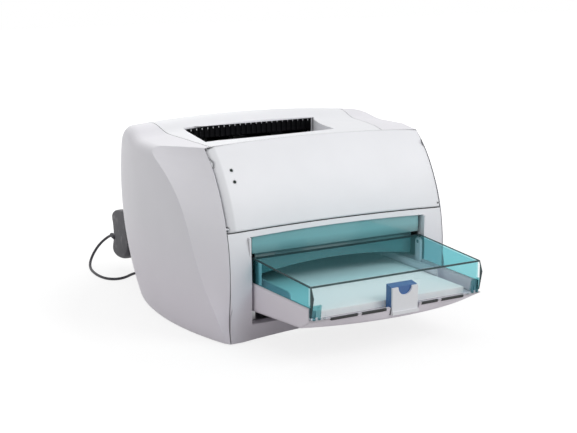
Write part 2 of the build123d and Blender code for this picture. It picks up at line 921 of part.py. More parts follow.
# Clear dust lid over the front of the tray, hinged on the tray's ears
lid_rear_z = 106.0
lid_front_y = -238.0
lid_front_z = 100.0
lid_crease_y = -243.5
lid_crease_z = 87.0
lid_foot_y = -238.5
lid_foot_z = 63.0
lid_side_low = 74.8
lid_front_half_width = 122.5
lid_notch_top = 90.5
lid_profile = [
    (tray_mouth_y, lid_rear_z),
    (lid_front_y, lid_front_z),
    (lid_crease_y, lid_crease_z),
    (lid_foot_y, lid_foot_z),
    (tray_mouth_y, lid_foot_z),
]
lid_hollow = [
    (tray_mouth_y + lid_wall, lid_rear_z - lid_wall),
    (lid_front_y + lid_wall, lid_front_z - lid_wall),
    (lid_crease_y + lid_wall, lid_crease_z),
    (lid_foot_y + lid_wall, lid_foot_z),
    (lid_foot_y + lid_wall, 0.0),
    (tray_mouth_y + lid_wall, 0.0),
]
lid_room = plan_block(
    [
        (-tray_half_width + lid_wall, tray_mouth_y + 1.0),
        (-lid_front_half_width + lid_wall, lid_front_y),
        (-lid_front_half_width + lid_wall, lid_crease_y + lid_wall),
        (lid_front_half_width - lid_wall, lid_crease_y + lid_wall),
        (lid_front_half_width - lid_wall, lid_front_y),
        (tray_half_width - lid_wall, tray_mouth_y + 1.0),
    ],
    0.0,
    lid_rear_z,
) & side_block(lid_hollow, -far, far)
with BuildPart() as tray_lid:
    add(side_block(lid_profile, -tray_half_width, tray_half_width))
    add(
        plan_block(
            [
                (-tray_half_width, tray_mouth_y),
                (-lid_front_half_width, lid_front_y),
                (-lid_front_half_width, lid_crease_y),
                (lid_front_half_width, lid_crease_y),
                (lid_front_half_width, lid_front_y),
                (tray_half_width, tray_mouth_y),
            ],
            0.0,
            far,
        ),
        mode=Mode.INTERSECT,
    )
    add(lid_room, mode=Mode.SUBTRACT)
    add(block((-far, rim_inner_y - fit_gap, 0.0), (far, far, lid_side_low)), mode=Mode.SUBTRACT)
    add(
        block(
            (notch_left - 0.5, -far, 0.0),
            (notch_right + 0.5, rim_inner_y + 1.0, lid_notch_top),
        ),
        mode=Mode.SUBTRACT,
    )
    for side in (-1, 1):
        root = side * (tray_half_width - lid_wall)
        tip = side * (ear_x + 0.5)
        add(rod(lid_pin_radius, min(root, tip), max(root, tip), lid_axis_y, lid_axis_z))
        for ridge in (104.0, 111.0, 118.0):
            add(
                block(
                    (side * ridge - 1.2, lid_foot_y - 2.2, rim_top + fit_gap),
                    (side * ridge + 1.2, lid_foot_y + 0.8, lid_side_low),
                )
            )
tray_lid.part.label = "tray_lid"
export_step(tray_lid.part, "parts/tray_lid.step")

# Paper and the parts that hold it
paper_low = tray_floor + fit_gap
with BuildPart() as paper_stack:
    add(
        block(
            (-paper_width / 2, paper_rear_y - paper_length, paper_low),
            (paper_width / 2, paper_rear_y, paper_low + paper_thickness),
        )
    )
paper_stack.part.label = "paper_stack"
export_step(paper_stack.part, "parts/paper_stack.step")

guide_left = -10.0
guide_right = 27.0
guide_plate_front = -240.5
guide_plate_rear = -238.0
guide_block_rear = -227.0
guide_top = 83.0
guide_notch_radius = 10.0
with BuildPart() as length_guide:
    add(
        block(
            (guide_left, guide_plate_front, notch_low + fit_gap),
            (guide_right, guide_plate_rear, guide_top),
        )
    )
    with BuildSketch(Plane.XZ.offset(-guide_plate_rear)):
        with Locations(((guide_left + guide_right) / 2, guide_top)):
            Circle(guide_notch_radius)
    extrude(amount=far, mode=Mode.SUBTRACT)
    add(
        block(
            (guide_left - 0.5, lid_crease_y + 1.0, notch_low + fit_gap),
            (guide_right + 0.5, guide_plate_rear, notch_low + fit_gap + 4.0),
        )
    )
length_guide.part.label = "length_guide"
export_step(length_guide.part, "parts/length_guide.step")

block_top = 85.7
with BuildPart() as guide_block:
    with BuildSketch(Plane.YZ.offset(guide_left)):
        with BuildLine():
            Polyline(
                (guide_plate_rear, paper_low),
                (guide_block_rear, paper_low),
                (guide_block_rear, block_top),
                (guide_plate_rear, block_top - 2.0),
                close=True,
            )
        make_face()
    extrude(amount=guide_right - guide_left)
    with BuildSketch(Plane.XZ.offset(-guide_block_rear)):
        with Locations(((guide_left + guide_right) / 2, paper_low + 10.0)):
            Rectangle(guide_right - guide_left - 6.0, 14.0)
    extrude(amount=4.0, mode=Mode.SUBTRACT)
guide_block.part.label = "guide_block"
export_step(guide_block.part, "parts/guide_block.step")

side_guide_thickness = 2.0
side_guide_top = 75.0
side_guide_front = -170.0
side_guide_rear = -40.0
side_guide_foot = 4.2
side_guide_inner = paper_width / 2 + 0.35
for side, name in ((-1, "left_width_guide"), (1, "right_width_guide")):
    near = side * side_guide_inner
    away = side * (side_guide_inner + side_guide_thickness)
    foot = side * (side_guide_inner + side_guide_foot)
    with BuildPart() as width_guide:
        add(
            block(
                (min(near, away), side_guide_front, paper_low),
                (max(near, away), side_guide_rear, side_guide_top),
            )
        )
        add(
            block(
                (min(near, foot), side_guide_front, paper_low),
                (max(near, foot), side_guide_rear, paper_low + side_guide_thickness),
            )
        )
        fillet(width_guide.edges().filter_by(Axis.X).group_by(Axis.Z)[-1], 6.0)
    width_guide.part.label = name
    export_step(width_guide.part, "parts/" + name + ".step")

plate_half_width = well_half_width - 2.0
plate_thickness = 1.5
with BuildPart() as lift_plate:
    add(
        block(
            (-plate_half_width, plate_axis_y - 2.0, tray_floor - plate_thickness),
            (plate_half_width, well_rear_y - 6.0, tray_floor),
        )
    )
    add(rod(plate_pin_radius, 0.5 - plate_pin_end, plate_pin_end - 0.5, plate_axis_y, plate_axis_z))
lift_plate.part.label = "lift_plate"
export_step(lift_plate.part, "parts/lift_plate.step")

spring_radius = 6.0
spring_y = 35.0
spring_height = 2.7
with BuildPart() as lift_spring:
    with BuildSketch(Plane.XY.offset(well_floor)):
        with Locations((0, spring_y)):
            Circle(spring_radius)
            Circle(spring_radius - 1.2, mode=Mode.SUBTRACT)
    extrude(amount=spring_height)
lift_spring.part.label = "lift_spring"
export_step(lift_spring.part, "parts/lift_spring.step")

# Teal panel above the feed slot, with a bridge behind it
panel_front = -104.0
panel_half_width = 125.0
panel_low = 110.0
panel_top = 131.2
shelf_top = 128.0
bridge_front = -98.0
bridge_low = 80.0
bridge_rise = 10.0
bridge_half_width = 118.0
with BuildPart() as feed_slot_panel:
    with BuildSketch(Plane.XZ.offset(-panel_front - skin)):
        with BuildLine():
            ThreePointArc(
                (-panel_half_width, panel_top),
                (0, panel_top + door_seam_rise),
                (panel_half_width, panel_top),
            )
            Line((panel_half_width, panel_top), (panel_half_width, panel_low))
            Line((panel_half_width, panel_low), (-panel_half_width, panel_low))
            Line((-panel_half_width, panel_low), (-panel_half_width, panel_top))
        make_face()
    extrude(amount=skin)
    add(
        block(
            (-bridge_half_width, panel_front, shelf_top - skin),
            (bridge_half_width, bridge_front + skin, shelf_top),
        )
    )
    with BuildSketch(Plane.XZ.offset(-bridge_front - skin)):
        with BuildLine():
            ThreePointArc(
                (-bridge_half_width, bridge_low),
                (0, bridge_low + bridge_rise),
                (bridge_half_width, bridge_low),
            )
            Line((bridge_half_width, bridge_low), (bridge_half_width, shelf_top))
            Line((bridge_half_width, shelf_top), (-bridge_half_width, shelf_top))
            Line((-bridge_half_width, shelf_top), (-bridge_half_width, bridge_low))
        make_face()
    extrude(amount=skin)
    add(
        block(
            (-opening_half_width, bridge_front + 0.1, panel_low + 2.0),
            (opening_half_width, bridge_front + skin - 0.1, shelf_top - 3.0),
        )
    )
feed_slot_panel.part.label = "feed_slot_panel"
export_step(feed_slot_panel.part, "parts/feed_slot_panel.step")

# Base pan with the rails that carry the tray, and the feet under it
foot_places = ((-125.0, -80.0), (125.0, -80.0), (-115.0, 185.0), (115.0, 185.0))
pan_top = pan_low + pan_thickness
board_posts = ((-10.0, 130.0), (85.0, 130.0), (-10.0, 195.0), (85.0, 195.0))
board_low = pan_top + 4.0
rail_front = front_y + return_depth + 1.5
with BuildPart() as base_pan:
    add(inner_room)
    add(block((-far, -far, pan_low), (far, far, pan_top)), mode=Mode.INTERSECT)
    for side in (-1, 1):
        outer = side * (tray_half_width - 0.5)
        inner = side * (tray_half_width - 0.5 - rail_width)
        add(
            block(
                (min(outer, inner), rail_front, pan_top),
                (max(outer, inner), tray_rear_y, tray_bottom - fit_gap),
            )
        )
    with BuildSketch(Plane.XY.offset(pan_top)):
        with Locations(*board_posts):
            Circle(3.0)
    extrude(amount=board_low - pan_top)
base_pan.part.label = "base_pan"
export_step(base_pan.part, "parts/base_pan.step")

with BuildPart() as rubber_feet:
    with BuildSketch():
        with Locations(*foot_places):
            Circle(foot_radius)
    extrude(amount=pan_low)
rubber_feet.part.label = "rubber_feet"
export_step(rubber_feet.part, "parts/rubber_feet.step")

# Side frames with a bush for each roller end
roller_axes = (
    (pickup_y, pickup_z),
    (drum_y, drum_z),
    (drum_y, transfer_z),
    (heat_y, heat_z),
    (heat_y, pressure_z),
    (exit_y, exit_z),
    (exit_y, pinch_z),
)
frame_outline = [
    (-92.0, pan_top),
    (-92.0, 140.0),
    (-72.0, 195.0),
    (-42.0, 230.0),
    (150.0, 230.0),
    (190.0, 212.0),
    (222.0, 180.0),
    (218.0, 62.0),
    (196.0, pan_top),
]


def gear_centre(start, first_teeth, end, second_teeth, side):
    # The place of an idler that meshes with two gears on known axes.
    run = (end[0] - start[0], end[1] - start[1])
    distance = hypot(*run)
    first = (first_teeth + idler_teeth) / 2
    second = (second_teeth + idler_teeth) / 2
    along = (first**2 - second**2 + distance**2) / (2 * distance)
    across = side * sqrt(first**2 - along**2)
    return (
        start[0] + (along * run[0] - across * run[1]) / distance,
        start[1] + (along * run[1] + across * run[0]) / distance,
    )


drum_axis = (drum_y, drum_z)
pickup_axis = (pickup_y, pickup_z)
pressure_axis = (heat_y, pressure_z)
pickup_idler_axis = gear_centre(drum_axis, drum_teeth, pickup_axis, roller_teeth, 1)
fuser_idler_axis = gear_centre(drum_axis, drum_teeth, pressure_axis, roller_teeth, 1)
pinion_reach = (drum_teeth + pinion_teeth) / 2
pinion_axis = (
    drum_y + pinion_reach * cos(radians(pinion_direction)),
    drum_z + pinion_reach * sin(radians(pinion_direction)),
)
frame_outer_x = frame_inner_x + frame_thickness
motor_x = gear_x + gear_width + 2.5
motor_posts = ((60.0, 108.0), (62.0, 143.0), (101.0, 143.0))
board_x = -frame_outer_x - 4.4
side_board_posts = ((-50.0, 40.0), (90.0, 40.0), (-50.0, 140.0), (90.0, 140.0))

with BuildPart() as frame_plate:
    with BuildSketch(Plane.YZ.offset(frame_inner_x)):
        with BuildLine():
            Polyline(*frame_outline, close=True)
        make_face()
        with Locations(*roller_axes):
            Circle(bush_radius, mode=Mode.SUBTRACT)
    extrude(amount=frame_thickness)

with BuildPart() as left_side_frame:
    mirror(frame_plate.part, about=Plane.YZ)
    with BuildSketch(Plane.YZ.offset(-frame_outer_x)):
        with Locations(*side_board_posts):
            Circle(2.5)
    extrude(amount=board_x + frame_outer_x)
left_side_frame.part.label = "left_side_frame"
export_step(left_side_frame.part, "parts/left_side_frame.step")

with BuildPart() as right_side_frame:
    add(frame_plate.part)
    with BuildSketch(Plane.YZ.offset(frame_outer_x)):
        with Locations(pickup_idler_axis, fuser_idler_axis):
            Circle(shaft_radius)
    extrude(amount=gear_x + gear_width + 0.8 - frame_outer_x)
    with BuildSketch(Plane.YZ.offset(frame_outer_x)):
        with Locations(*motor_posts):
            Circle(2.5)
    extrude(amount=motor_x - frame_outer_x)
right_side_frame.part.label = "right_side_frame"
export_step(right_side_frame.part, "parts/right_side_frame.step")

with BuildPart() as roller_bushes:
    for side in (-1, 1):
        bush_start = side * (frame_inner_x + frame_thickness / 2 - bush_length / 2)
        with BuildSketch(Plane.YZ.offset(bush_start)):
            with Locations(*roller_axes):
                Circle(bush_radius)
                Circle(shaft_radius + running_gap, mode=Mode.SUBTRACT)
        extrude(amount=side * bush_length)
roller_bushes.part.label = "roller_bushes"
export_step(roller_bushes.part, "parts/roller_bushes.step")

with BuildPart() as crossbars:
    add(block((-frame_inner_x, -40.0, 196.0), (frame_inner_x, -36.0, 222.0)))
    add(block((-frame_inner_x, 196.0, 148.0), (frame_inner_x, 200.0, 174.0)))
    add(block((-frame_inner_x, 186.0, pan_top + 6.0), (frame_inner_x, 190.0, pan_top + 32.0)))
crossbars.part.label = "crossbars"
export_step(crossbars.part, "parts/crossbars.step")

# Toner cartridge above the paper path, with room for the drum
cartridge_half_width = 136.0
with BuildPart() as toner_cartridge:
    with BuildSketch(Plane.YZ.offset(-cartridge_half_width)):
        with BuildLine():
            Polyline(
                (-72.0, 104.0),
                (-72.0, 140.0),
                (-60.0, 164.0),
                (40.0, 168.0),
                (104.0, 150.0),
                (116.0, 134.0),
                (116.0, 110.0),
                (86.0, 100.0),
                close=True,
            )
        make_face()
    extrude(amount=2 * cartridge_half_width)
    fillet(toner_cartridge.edges().filter_by(Axis.X), 2.0)
    add(
        rod(drum_radius + 0.7, -drum_half_length - 1.0, drum_half_length + 1.0, drum_y, drum_z),
        mode=Mode.SUBTRACT,
    )
    add(rod(shaft_radius + 0.6, -far, far, drum_y, drum_z), mode=Mode.SUBTRACT)
    add(block((-45.0, -78.0, 122.0), (45.0, -70.0, 127.0)))
    add(block((-frame_inner_x, -60.0, 118.0), (frame_inner_x, -44.0, 128.0)))
toner_cartridge.part.label = "toner_cartridge"
export_step(toner_cartridge.part, "parts/toner_cartridge.step")

# Rollers on their shafts
bush_end = frame_inner_x + frame_thickness / 2 + bush_length / 2 + 0.5
gear_end = gear_x + gear_width + 0.5
pulley_end = pulley_x + pulley_width
rubber_half_width = 25.0
with BuildPart() as pickup_roller:
    add(rod(pickup_radius, -rubber_half_width, rubber_half_width, pickup_y, pickup_z))
    add(rod(shaft_radius, -bush_end, gear_end, pickup_y, pickup_z))
pickup_roller.part.label = "pickup_roller"
export_step(pickup_roller.part, "parts/pickup_roller.step")

with BuildPart() as transfer_roller:
    add(rod(transfer_radius, -drum_half_length + 8.0, drum_half_length - 8.0, drum_y, transfer_z))
    add(rod(shaft_radius, -bush_end, bush_end, drum_y, transfer_z))
transfer_roller.part.label = "transfer_roller"
export_step(transfer_roller.part, "parts/transfer_roller.step")

with BuildPart() as heat_roller:
    add(rod(heat_radius, -fuser_half_length, fuser_half_length, heat_y, heat_z))
    add(rod(shaft_radius, -bush_end, bush_end, heat_y, heat_z))
heat_roller.part.label = "heat_roller"
export_step(heat_roller.part, "parts/heat_roller.step")

with BuildPart() as pressure_roller:
    add(rod(heat_radius, -fuser_half_length, fuser_half_length, heat_y, pressure_z))
    add(rod(shaft_radius, -bush_end, pulley_end, heat_y, pressure_z))
    add(rod(pulley_radius, pulley_x, pulley_end, heat_y, pressure_z))
pressure_roller.part.label = "pressure_roller"
export_step(pressure_roller.part, "parts/pressure_roller.step")

sleeve_half_width = 10.0
sleeve_places = (-90.0, -30.0, 30.0, 90.0)
with BuildPart() as exit_roller:
    add(rod(shaft_radius, -bush_end, pulley_end, exit_y, exit_z))
    add(rod(pulley_radius, pulley_x, pulley_end, exit_y, exit_z))
    for x in sleeve_places:
        add(rod(exit_radius, x - sleeve_half_width, x + sleeve_half_width, exit_y, exit_z))
exit_roller.part.label = "exit_roller"
export_step(exit_roller.part, "parts/exit_roller.step")

with BuildPart() as pinch_roller:
    add(rod(shaft_radius, -bush_end, bush_end, exit_y, pinch_z))
    for x in sleeve_places:
        add(rod(pinch_radius, x - sleeve_half_width, x + sleeve_half_width, exit_y, pinch_z))
pinch_roller.part.label = "pinch_roller"
export_step(pinch_roller.part, "parts/pinch_roller.step")


# Gears of module one: a tooth is one millimetre of pitch diameter
def mesh_phase(direction, first_phase, first_teeth, second_teeth):
    # The phase of a gear that meshes with a first one in a direction, in radians.
    return direction + pi + pi / second_teeth + (direction - first_phase) * first_teeth / second_teeth


def gear(teeth, axis, phase, bore):
    # A spur gear with straight-sided teeth.
    pitch = teeth / 2
    points = []
    for tooth in range(teeth):
        middle = phase + 2 * pi * tooth / teeth
        for radius, width, side in (
            (pitch - tooth_dedendum, tooth_width * 1.45, -1),
            (pitch + tooth_addendum, tooth_width * 0.62, -1),
            (pitch + tooth_addendum, tooth_width * 0.62, 1),
            (pitch - tooth_dedendum, tooth_width * 1.45, 1),
        ):
            angle = middle + side * width / 2 / radius
            points.append((axis[0] + radius * cos(angle), axis[1] + radius * sin(angle)))
    with BuildPart() as wheel:
        with BuildSketch(Plane.YZ.offset(gear_x)):
            with BuildLine():
                Polyline(*points, close=True)
            make_face()
            with Locations(axis):
                Circle(bore, mode=Mode.SUBTRACT)
        extrude(amount=gear_width)
    return wheel.part


def direction_to(start, end):
    return atan2(end[1] - start[1], end[0] - start[0])


to_pickup_idler = direction_to(drum_axis, pickup_idler_axis)
to_fuser_idler = direction_to(drum_axis, fuser_idler_axis)
pickup_idler_phase = mesh_phase(to_pickup_idler, 0.0, drum_teeth, idler_teeth)
fuser_idler_phase = mesh_phase(to_fuser_idler, 0.0, drum_teeth, idler_teeth)
pickup_direction = direction_to(pickup_idler_axis, pickup_axis)
pressure_direction = direction_to(fuser_idler_axis, pressure_axis)
pickup_phase = mesh_phase(pickup_direction, pickup_idler_phase, idler_teeth, roller_teeth)
pressure_phase = mesh_phase(pressure_direction, fuser_idler_phase, idler_teeth, roller_teeth)
pinion_phase = mesh_phase(radians(pinion_direction), 0.0, drum_teeth, pinion_teeth)
idler_bore = shaft_radius + running_gap
pinion_shaft_radius = 2.0
for name, teeth, axis, phase, bore in (
    ("pickup_idler_gear", idler_teeth, pickup_idler_axis, pickup_idler_phase, idler_bore),
    ("fuser_idler_gear", idler_teeth, fuser_idler_axis, fuser_idler_phase, idler_bore),
    ("pickup_gear", roller_teeth, pickup_axis, pickup_phase, shaft_radius),
    ("pressure_gear", roller_teeth, pressure_axis, pressure_phase, shaft_radius),
):
    wheel = gear(teeth, axis, phase, bore)
    wheel.label = name
    export_step(wheel, "parts/" + name + ".step")

with BuildPart() as drum:
    add(rod(drum_radius, -drum_half_length, drum_half_length, drum_y, drum_z))
    add(rod(shaft_radius, -bush_end, gear_end, drum_y, drum_z))
    add(gear(drum_teeth, drum_axis, 0.0, shaft_radius))
drum.part.label = "drum"
export_step(drum.part, "parts/drum.step")

with BuildPart() as motor_pinion:
    add(gear(pinion_teeth, pinion_axis, pinion_phase, pinion_shaft_radius))
    add(rod(pinion_shaft_radius, gear_x - 1.0, motor_x + 4.0, *pinion_axis))
motor_pinion.part.label = "motor_pinion"
export_step(motor_pinion.part, "parts/motor_pinion.step")

motor_radius = 21.0
motor_length = 22.0
motor_plate = 1.5
with BuildPart() as main_motor:
    add(
        block(
            (motor_x, pinion_axis[0] - 26.0, pinion_axis[1] - 21.0),
            (motor_x + motor_plate, pinion_axis[0] + 24.0, pinion_axis[1] + 23.0),
        )
    )
    add(rod(motor_radius, motor_x + motor_plate, motor_x + motor_length, *pinion_axis))
    add(
        rod(pinion_shaft_radius + running_gap, motor_x, motor_x + 5.0, *pinion_axis),
        mode=Mode.SUBTRACT,
    )
main_motor.part.label = "main_motor"
export_step(main_motor.part, "parts/main_motor.step")

# Belt from the pressure roller to the exit roller
belt_run = hypot(heat_y - exit_y, pressure_z - exit_z)
belt_angle = degrees(atan2(exit_z - pressure_z, exit_y - heat_y))
belt_inner = pulley_radius + running_gap
with BuildPart() as exit_belt:
    with BuildSketch(Plane.YZ.offset(pulley_x + 0.5)):
        with Locations(((heat_y + exit_y) / 2, (pressure_z + exit_z) / 2)):
            SlotCenterToCenter(belt_run, 2 * (belt_inner + belt_thickness), rotation=belt_angle)
            SlotCenterToCenter(belt_run, 2 * belt_inner, rotation=belt_angle, mode=Mode.SUBTRACT)
    extrude(amount=pulley_width - 1.0)
exit_belt.part.label = "exit_belt"
export_step(exit_belt.part, "parts/exit_belt.step")

# Paper guides between the rollers
guide_sheet = 2.0
turn_y, turn_z, turn_radius = 165.0, 162.0, 52.0
turn_start, turn_end = -50.0, 120.0
turn_half_width = 112.0
with BuildPart() as turn_guide:
    with BuildSketch(Plane.YZ.offset(-turn_half_width)):
        with BuildLine():
            inner = CenterArc((turn_y, turn_z), turn_radius, turn_start, turn_end - turn_start)
            outer = CenterArc((turn_y, turn_z), turn_radius + guide_sheet, turn_start, turn_end - turn_start)
            Line(inner @ 0, outer @ 0)
            Line(inner @ 1, outer @ 1)
        make_face()
    extrude(amount=2 * turn_half_width)
    for side in (-1, 1):
        near = side * (turn_half_width - 2.0)
        away = side * frame_inner_x
        add(
            block(
                (min(near, away), turn_y + turn_radius + 0.2, turn_z - 4.0),
                (max(near, away), turn_y + turn_radius + guide_sheet - 0.2, turn_z + 4.0),
            )
        )
turn_guide.part.label = "turn_guide"
export_step(turn_guide.part, "parts/turn_guide.step")

with BuildPart() as transfer_guide:
    add(
        side_block(
            [(59.2, 70.7), (92.0, 90.0), (91.0, 91.7), (59.2, 73.0)],
            -frame_inner_x,
            frame_inner_x,
        )
    )
transfer_guide.part.label = "transfer_guide"
export_step(transfer_guide.part, "parts/transfer_guide.step")

pad_angle = radians(-30.0)
pad_gap = 0.3
pad_half_width = 20.0
pad_thickness = 3.0
pad_centre = (
    pickup_y + (pickup_radius + pad_gap) * cos(pad_angle),
    pickup_z + (pickup_radius + pad_gap) * sin(pad_angle),
)


def pad_point(along, out):
    # A point of the pad, measured along its face and away from the roller.
    return (
        pad_centre[0] - along * sin(pad_angle) + out * cos(pad_angle),
        pad_centre[1] + along * cos(pad_angle) + out * sin(pad_angle),
    )


with BuildPart() as separation_pad:
    add(
        side_block(
            [
                pad_point(-5.0, 0.0),
                pad_point(4.0, 0.0),
                pad_point(4.0, pad_thickness),
                pad_point(-5.0, pad_thickness),
            ],
            -pad_half_width,
            pad_half_width,
        )
    )
    add(block((-pad_half_width, 53.2, 70.9), (pad_half_width, 59.2, 72.8)))
separation_pad.part.label = "separation_pad"
export_step(separation_pad.part, "parts/separation_pad.step")

# Fuser frame round the two hot rollers
fuser_half_width = 140.0
fuser_low = 78.0
fuser_high = 136.0
fuser_front = 142.0
fuser_rear = 188.0
fuser_wall = 3.0
fuser_slot_low = 98.0
fuser_slot_high = 115.0
with BuildPart() as fuser_frame:
    add(block((-fuser_half_width, fuser_front, fuser_low), (fuser_half_width, fuser_rear, fuser_high)))
    add(
        block(
            (-fuser_half_width + fuser_wall, fuser_front + fuser_wall, fuser_low + fuser_wall),
            (fuser_half_width - fuser_wall, fuser_rear - fuser_wall, fuser_high - fuser_wall),
        ),
        mode=Mode.SUBTRACT,
    )
    add(
        block(
            (-turn_half_width, fuser_front - 1.0, fuser_slot_low),
            (turn_half_width, fuser_rear + 1.0, fuser_slot_high),
        ),
        mode=Mode.SUBTRACT,
    )
    for height in (heat_z, pressure_z):
        add(rod(shaft_radius + 0.6, -far, far, heat_y, height), mode=Mode.SUBTRACT)
    for side in (-1, 1):
        near = side * (fuser_half_width - 1.0)
        away = side * frame_inner_x
        add(
            block(
                (min(near, away), fuser_front + 6.0, fuser_high - 6.0),
                (max(near, away), fuser_rear - 6.0, fuser_high),
            )
        )
fuser_frame.part.label = "fuser_frame"
export_step(fuser_frame.part, "parts/fuser_frame.step")

# Scanner housing under the bin, with the turning mirror in it and the fold mirror behind it
scanner_half_width = 95.0
scanner_front = -30.0
scanner_rear = 80.0
scanner_low = 174.0
scanner_high = 196.0
spindle_x, spindle_y = -30.0, 12.0
spindle_radius = 2.0
with BuildPart() as scanner_housing:
    add(
        block(
            (-scanner_half_width, scanner_front, scanner_low),
            (scanner_half_width, scanner_rear, scanner_high),
        )
    )
    fillet(scanner_housing.edges().filter_by(Axis.Z), 8.0)
    add(
        block(
            (-scanner_half_width + 4.0, scanner_front + 4.0, scanner_low + skin),
            (scanner_half_width - 4.0, scanner_rear - 4.0, scanner_high - skin),
        ),
        mode=Mode.SUBTRACT,
    )
    add(block((-80.0, scanner_rear - 6.0, 180.0), (80.0, scanner_rear + 1.0, 190.0)), mode=Mode.SUBTRACT)
    with BuildSketch(Plane.XY.offset(scanner_low)):
        with Locations((spindle_x, spindle_y)):
            Circle(8.0)
    extrude(amount=8.5)
    with BuildSketch(Plane.XY.offset(scanner_low + 1.5)):
        with Locations((spindle_x, spindle_y)):
            Circle(spindle_radius + running_gap)
    extrude(amount=10.0, mode=Mode.SUBTRACT)
    for side in (-1, 1):
        near = side * (scanner_half_width - 2.0)
        away = side * frame_inner_x
        add(block((min(near, away), 0.0, scanner_low), (max(near, away), 40.0, scanner_low + 3.0)))
scanner_housing.part.label = "scanner_housing"
export_step(scanner_housing.part, "parts/scanner_housing.step")

with BuildPart() as polygon_mirror:
    with BuildSketch(Plane.XY.offset(scanner_low + 9.0)):
        with Locations((spindle_x, spindle_y)):
            RegularPolygon(16.0, 6)
    extrude(amount=4.0)
    with BuildSketch(Plane.XY.offset(scanner_low + 2.0)):
        with Locations((spindle_x, spindle_y)):
            Circle(spindle_radius)
    extrude(amount=14.0)
polygon_mirror.part.label = "polygon_mirror"
export_step(polygon_mirror.part, "parts/polygon_mirror.step")

with BuildPart() as fold_mirror:
    add(
        side_block(
            [(90.0, 188.0), (92.0, 190.0), (106.0, 176.0), (104.0, 174.0)],
            -frame_inner_x,
            frame_inner_x,
        )
    )
fold_mirror.part.label = "fold_mirror"
export_step(fold_mirror.part, "parts/fold_mirror.step")

# Boards, power inlet, switch and fan
board_thickness = 1.6
with BuildPart() as main_board:
    add(block((board_x - board_thickness, -60.0, 30.0), (board_x, 100.0, 150.0)))
    with BuildSketch(Plane.YZ.offset(board_x - board_thickness)):
        with Locations((-20.0, 100.0)):
            Rectangle(28.0, 28.0)
        with Locations((30.0, 105.0), (30.0, 80.0), (60.0, 105.0)):
            Rectangle(20.0, 12.0)
        with Locations((20.0, 50.0)):
            Rectangle(60.0, 10.0)
    extrude(amount=-3.0)
main_board.part.label = "main_board"
export_step(main_board.part, "parts/main_board.step")

with BuildPart() as power_board:
    add(block((-20.0, 120.0, board_low), (95.0, 205.0, board_low + board_thickness)))
    with BuildSketch(Plane.XY.offset(board_low + board_thickness)):
        with Locations((20.0, 150.0)):
            Rectangle(34.0, 30.0)
    extrude(amount=24.0)
    with BuildSketch(Plane.XY.offset(board_low + board_thickness)):
        with Locations((65.0, 140.0), (65.0, 165.0)):
            Circle(9.0)
    extrude(amount=28.0)
power_board.part.label = "power_board"
export_step(power_board.part, "parts/power_board.step")

inlet_depth = 22.0
with BuildPart() as power_inlet:
    add(
        block(
            (inlet_x - inlet_width / 2 + fit_gap, rear_y - inlet_depth, inlet_low + fit_gap),
            (inlet_x + inlet_width / 2 - fit_gap, rear_y, inlet_high - fit_gap),
        )
    )
    with BuildSketch(Plane.XZ.offset(-rear_y)):
        with Locations((inlet_x, (inlet_low + inlet_high) / 2)):
            RectangleRounded(21.0, 14.0, 2.0)
    extrude(amount=inlet_depth - 5.0, mode=Mode.SUBTRACT)
    with BuildSketch(Plane.XZ.offset(-rear_y + inlet_depth - 4.0)):
        with Locations(
            (inlet_x - 6.0, (inlet_low + inlet_high) / 2 - 2.0),
            (inlet_x, (inlet_low + inlet_high) / 2 + 2.0),
            (inlet_x + 6.0, (inlet_low + inlet_high) / 2 - 2.0),
        ):
            Rectangle(1.5, 4.0)
    extrude(amount=-inlet_depth + 8.0)
power_inlet.part.label = "power_inlet"
export_step(power_inlet.part, "parts/power_inlet.step")

tip_radius = 6.3
low_tip = radians(-56)
high_tip = radians(68)
with BuildPart() as power_switch:
    with BuildSketch(Plane.YZ.offset(switch_x - switch_width / 2 + fit_gap)):
        with BuildLine():
            Polyline(
                (switch_axis_y - 3.0, switch_axis_z - 4.5),
                (switch_axis_y + tip_radius * cos(low_tip), switch_axis_z + tip_radius * sin(low_tip)),
                (switch_axis_y + 2.4, switch_axis_z),
                (switch_axis_y + tip_radius * cos(high_tip), switch_axis_z + tip_radius * sin(high_tip)),
                (switch_axis_y - 3.0, switch_axis_z + 4.5),
                close=True,
            )
        make_face()
    extrude(amount=switch_width - 2 * fit_gap)
    switch_pin_end = switch_width / 2 + 1.5
    add(
        rod(
            switch_pin_radius,
            switch_x - switch_pin_end,
            switch_x + switch_pin_end,
            switch_axis_y,
            switch_axis_z,
        )
    )
power_switch.part.label = "power_switch"
export_step(power_switch.part, "parts/power_switch.step")

with BuildPart() as data_port:
    add(
        block(
            (port_x - port_width / 2 + fit_gap, rear_y - 14.0, port_low + fit_gap),
            (port_x + port_width / 2 - fit_gap, rear_y, port_high - fit_gap),
        )
    )
    with BuildSketch(Plane.XZ.offset(-rear_y)):
        with Locations((port_x, (port_low + port_high) / 2)):
            Rectangle(port_width - 4.0, port_high - port_low - 8.0)
    extrude(amount=8.0, mode=Mode.SUBTRACT)
data_port.part.label = "data_port"
export_step(data_port.part, "parts/data_port.step")

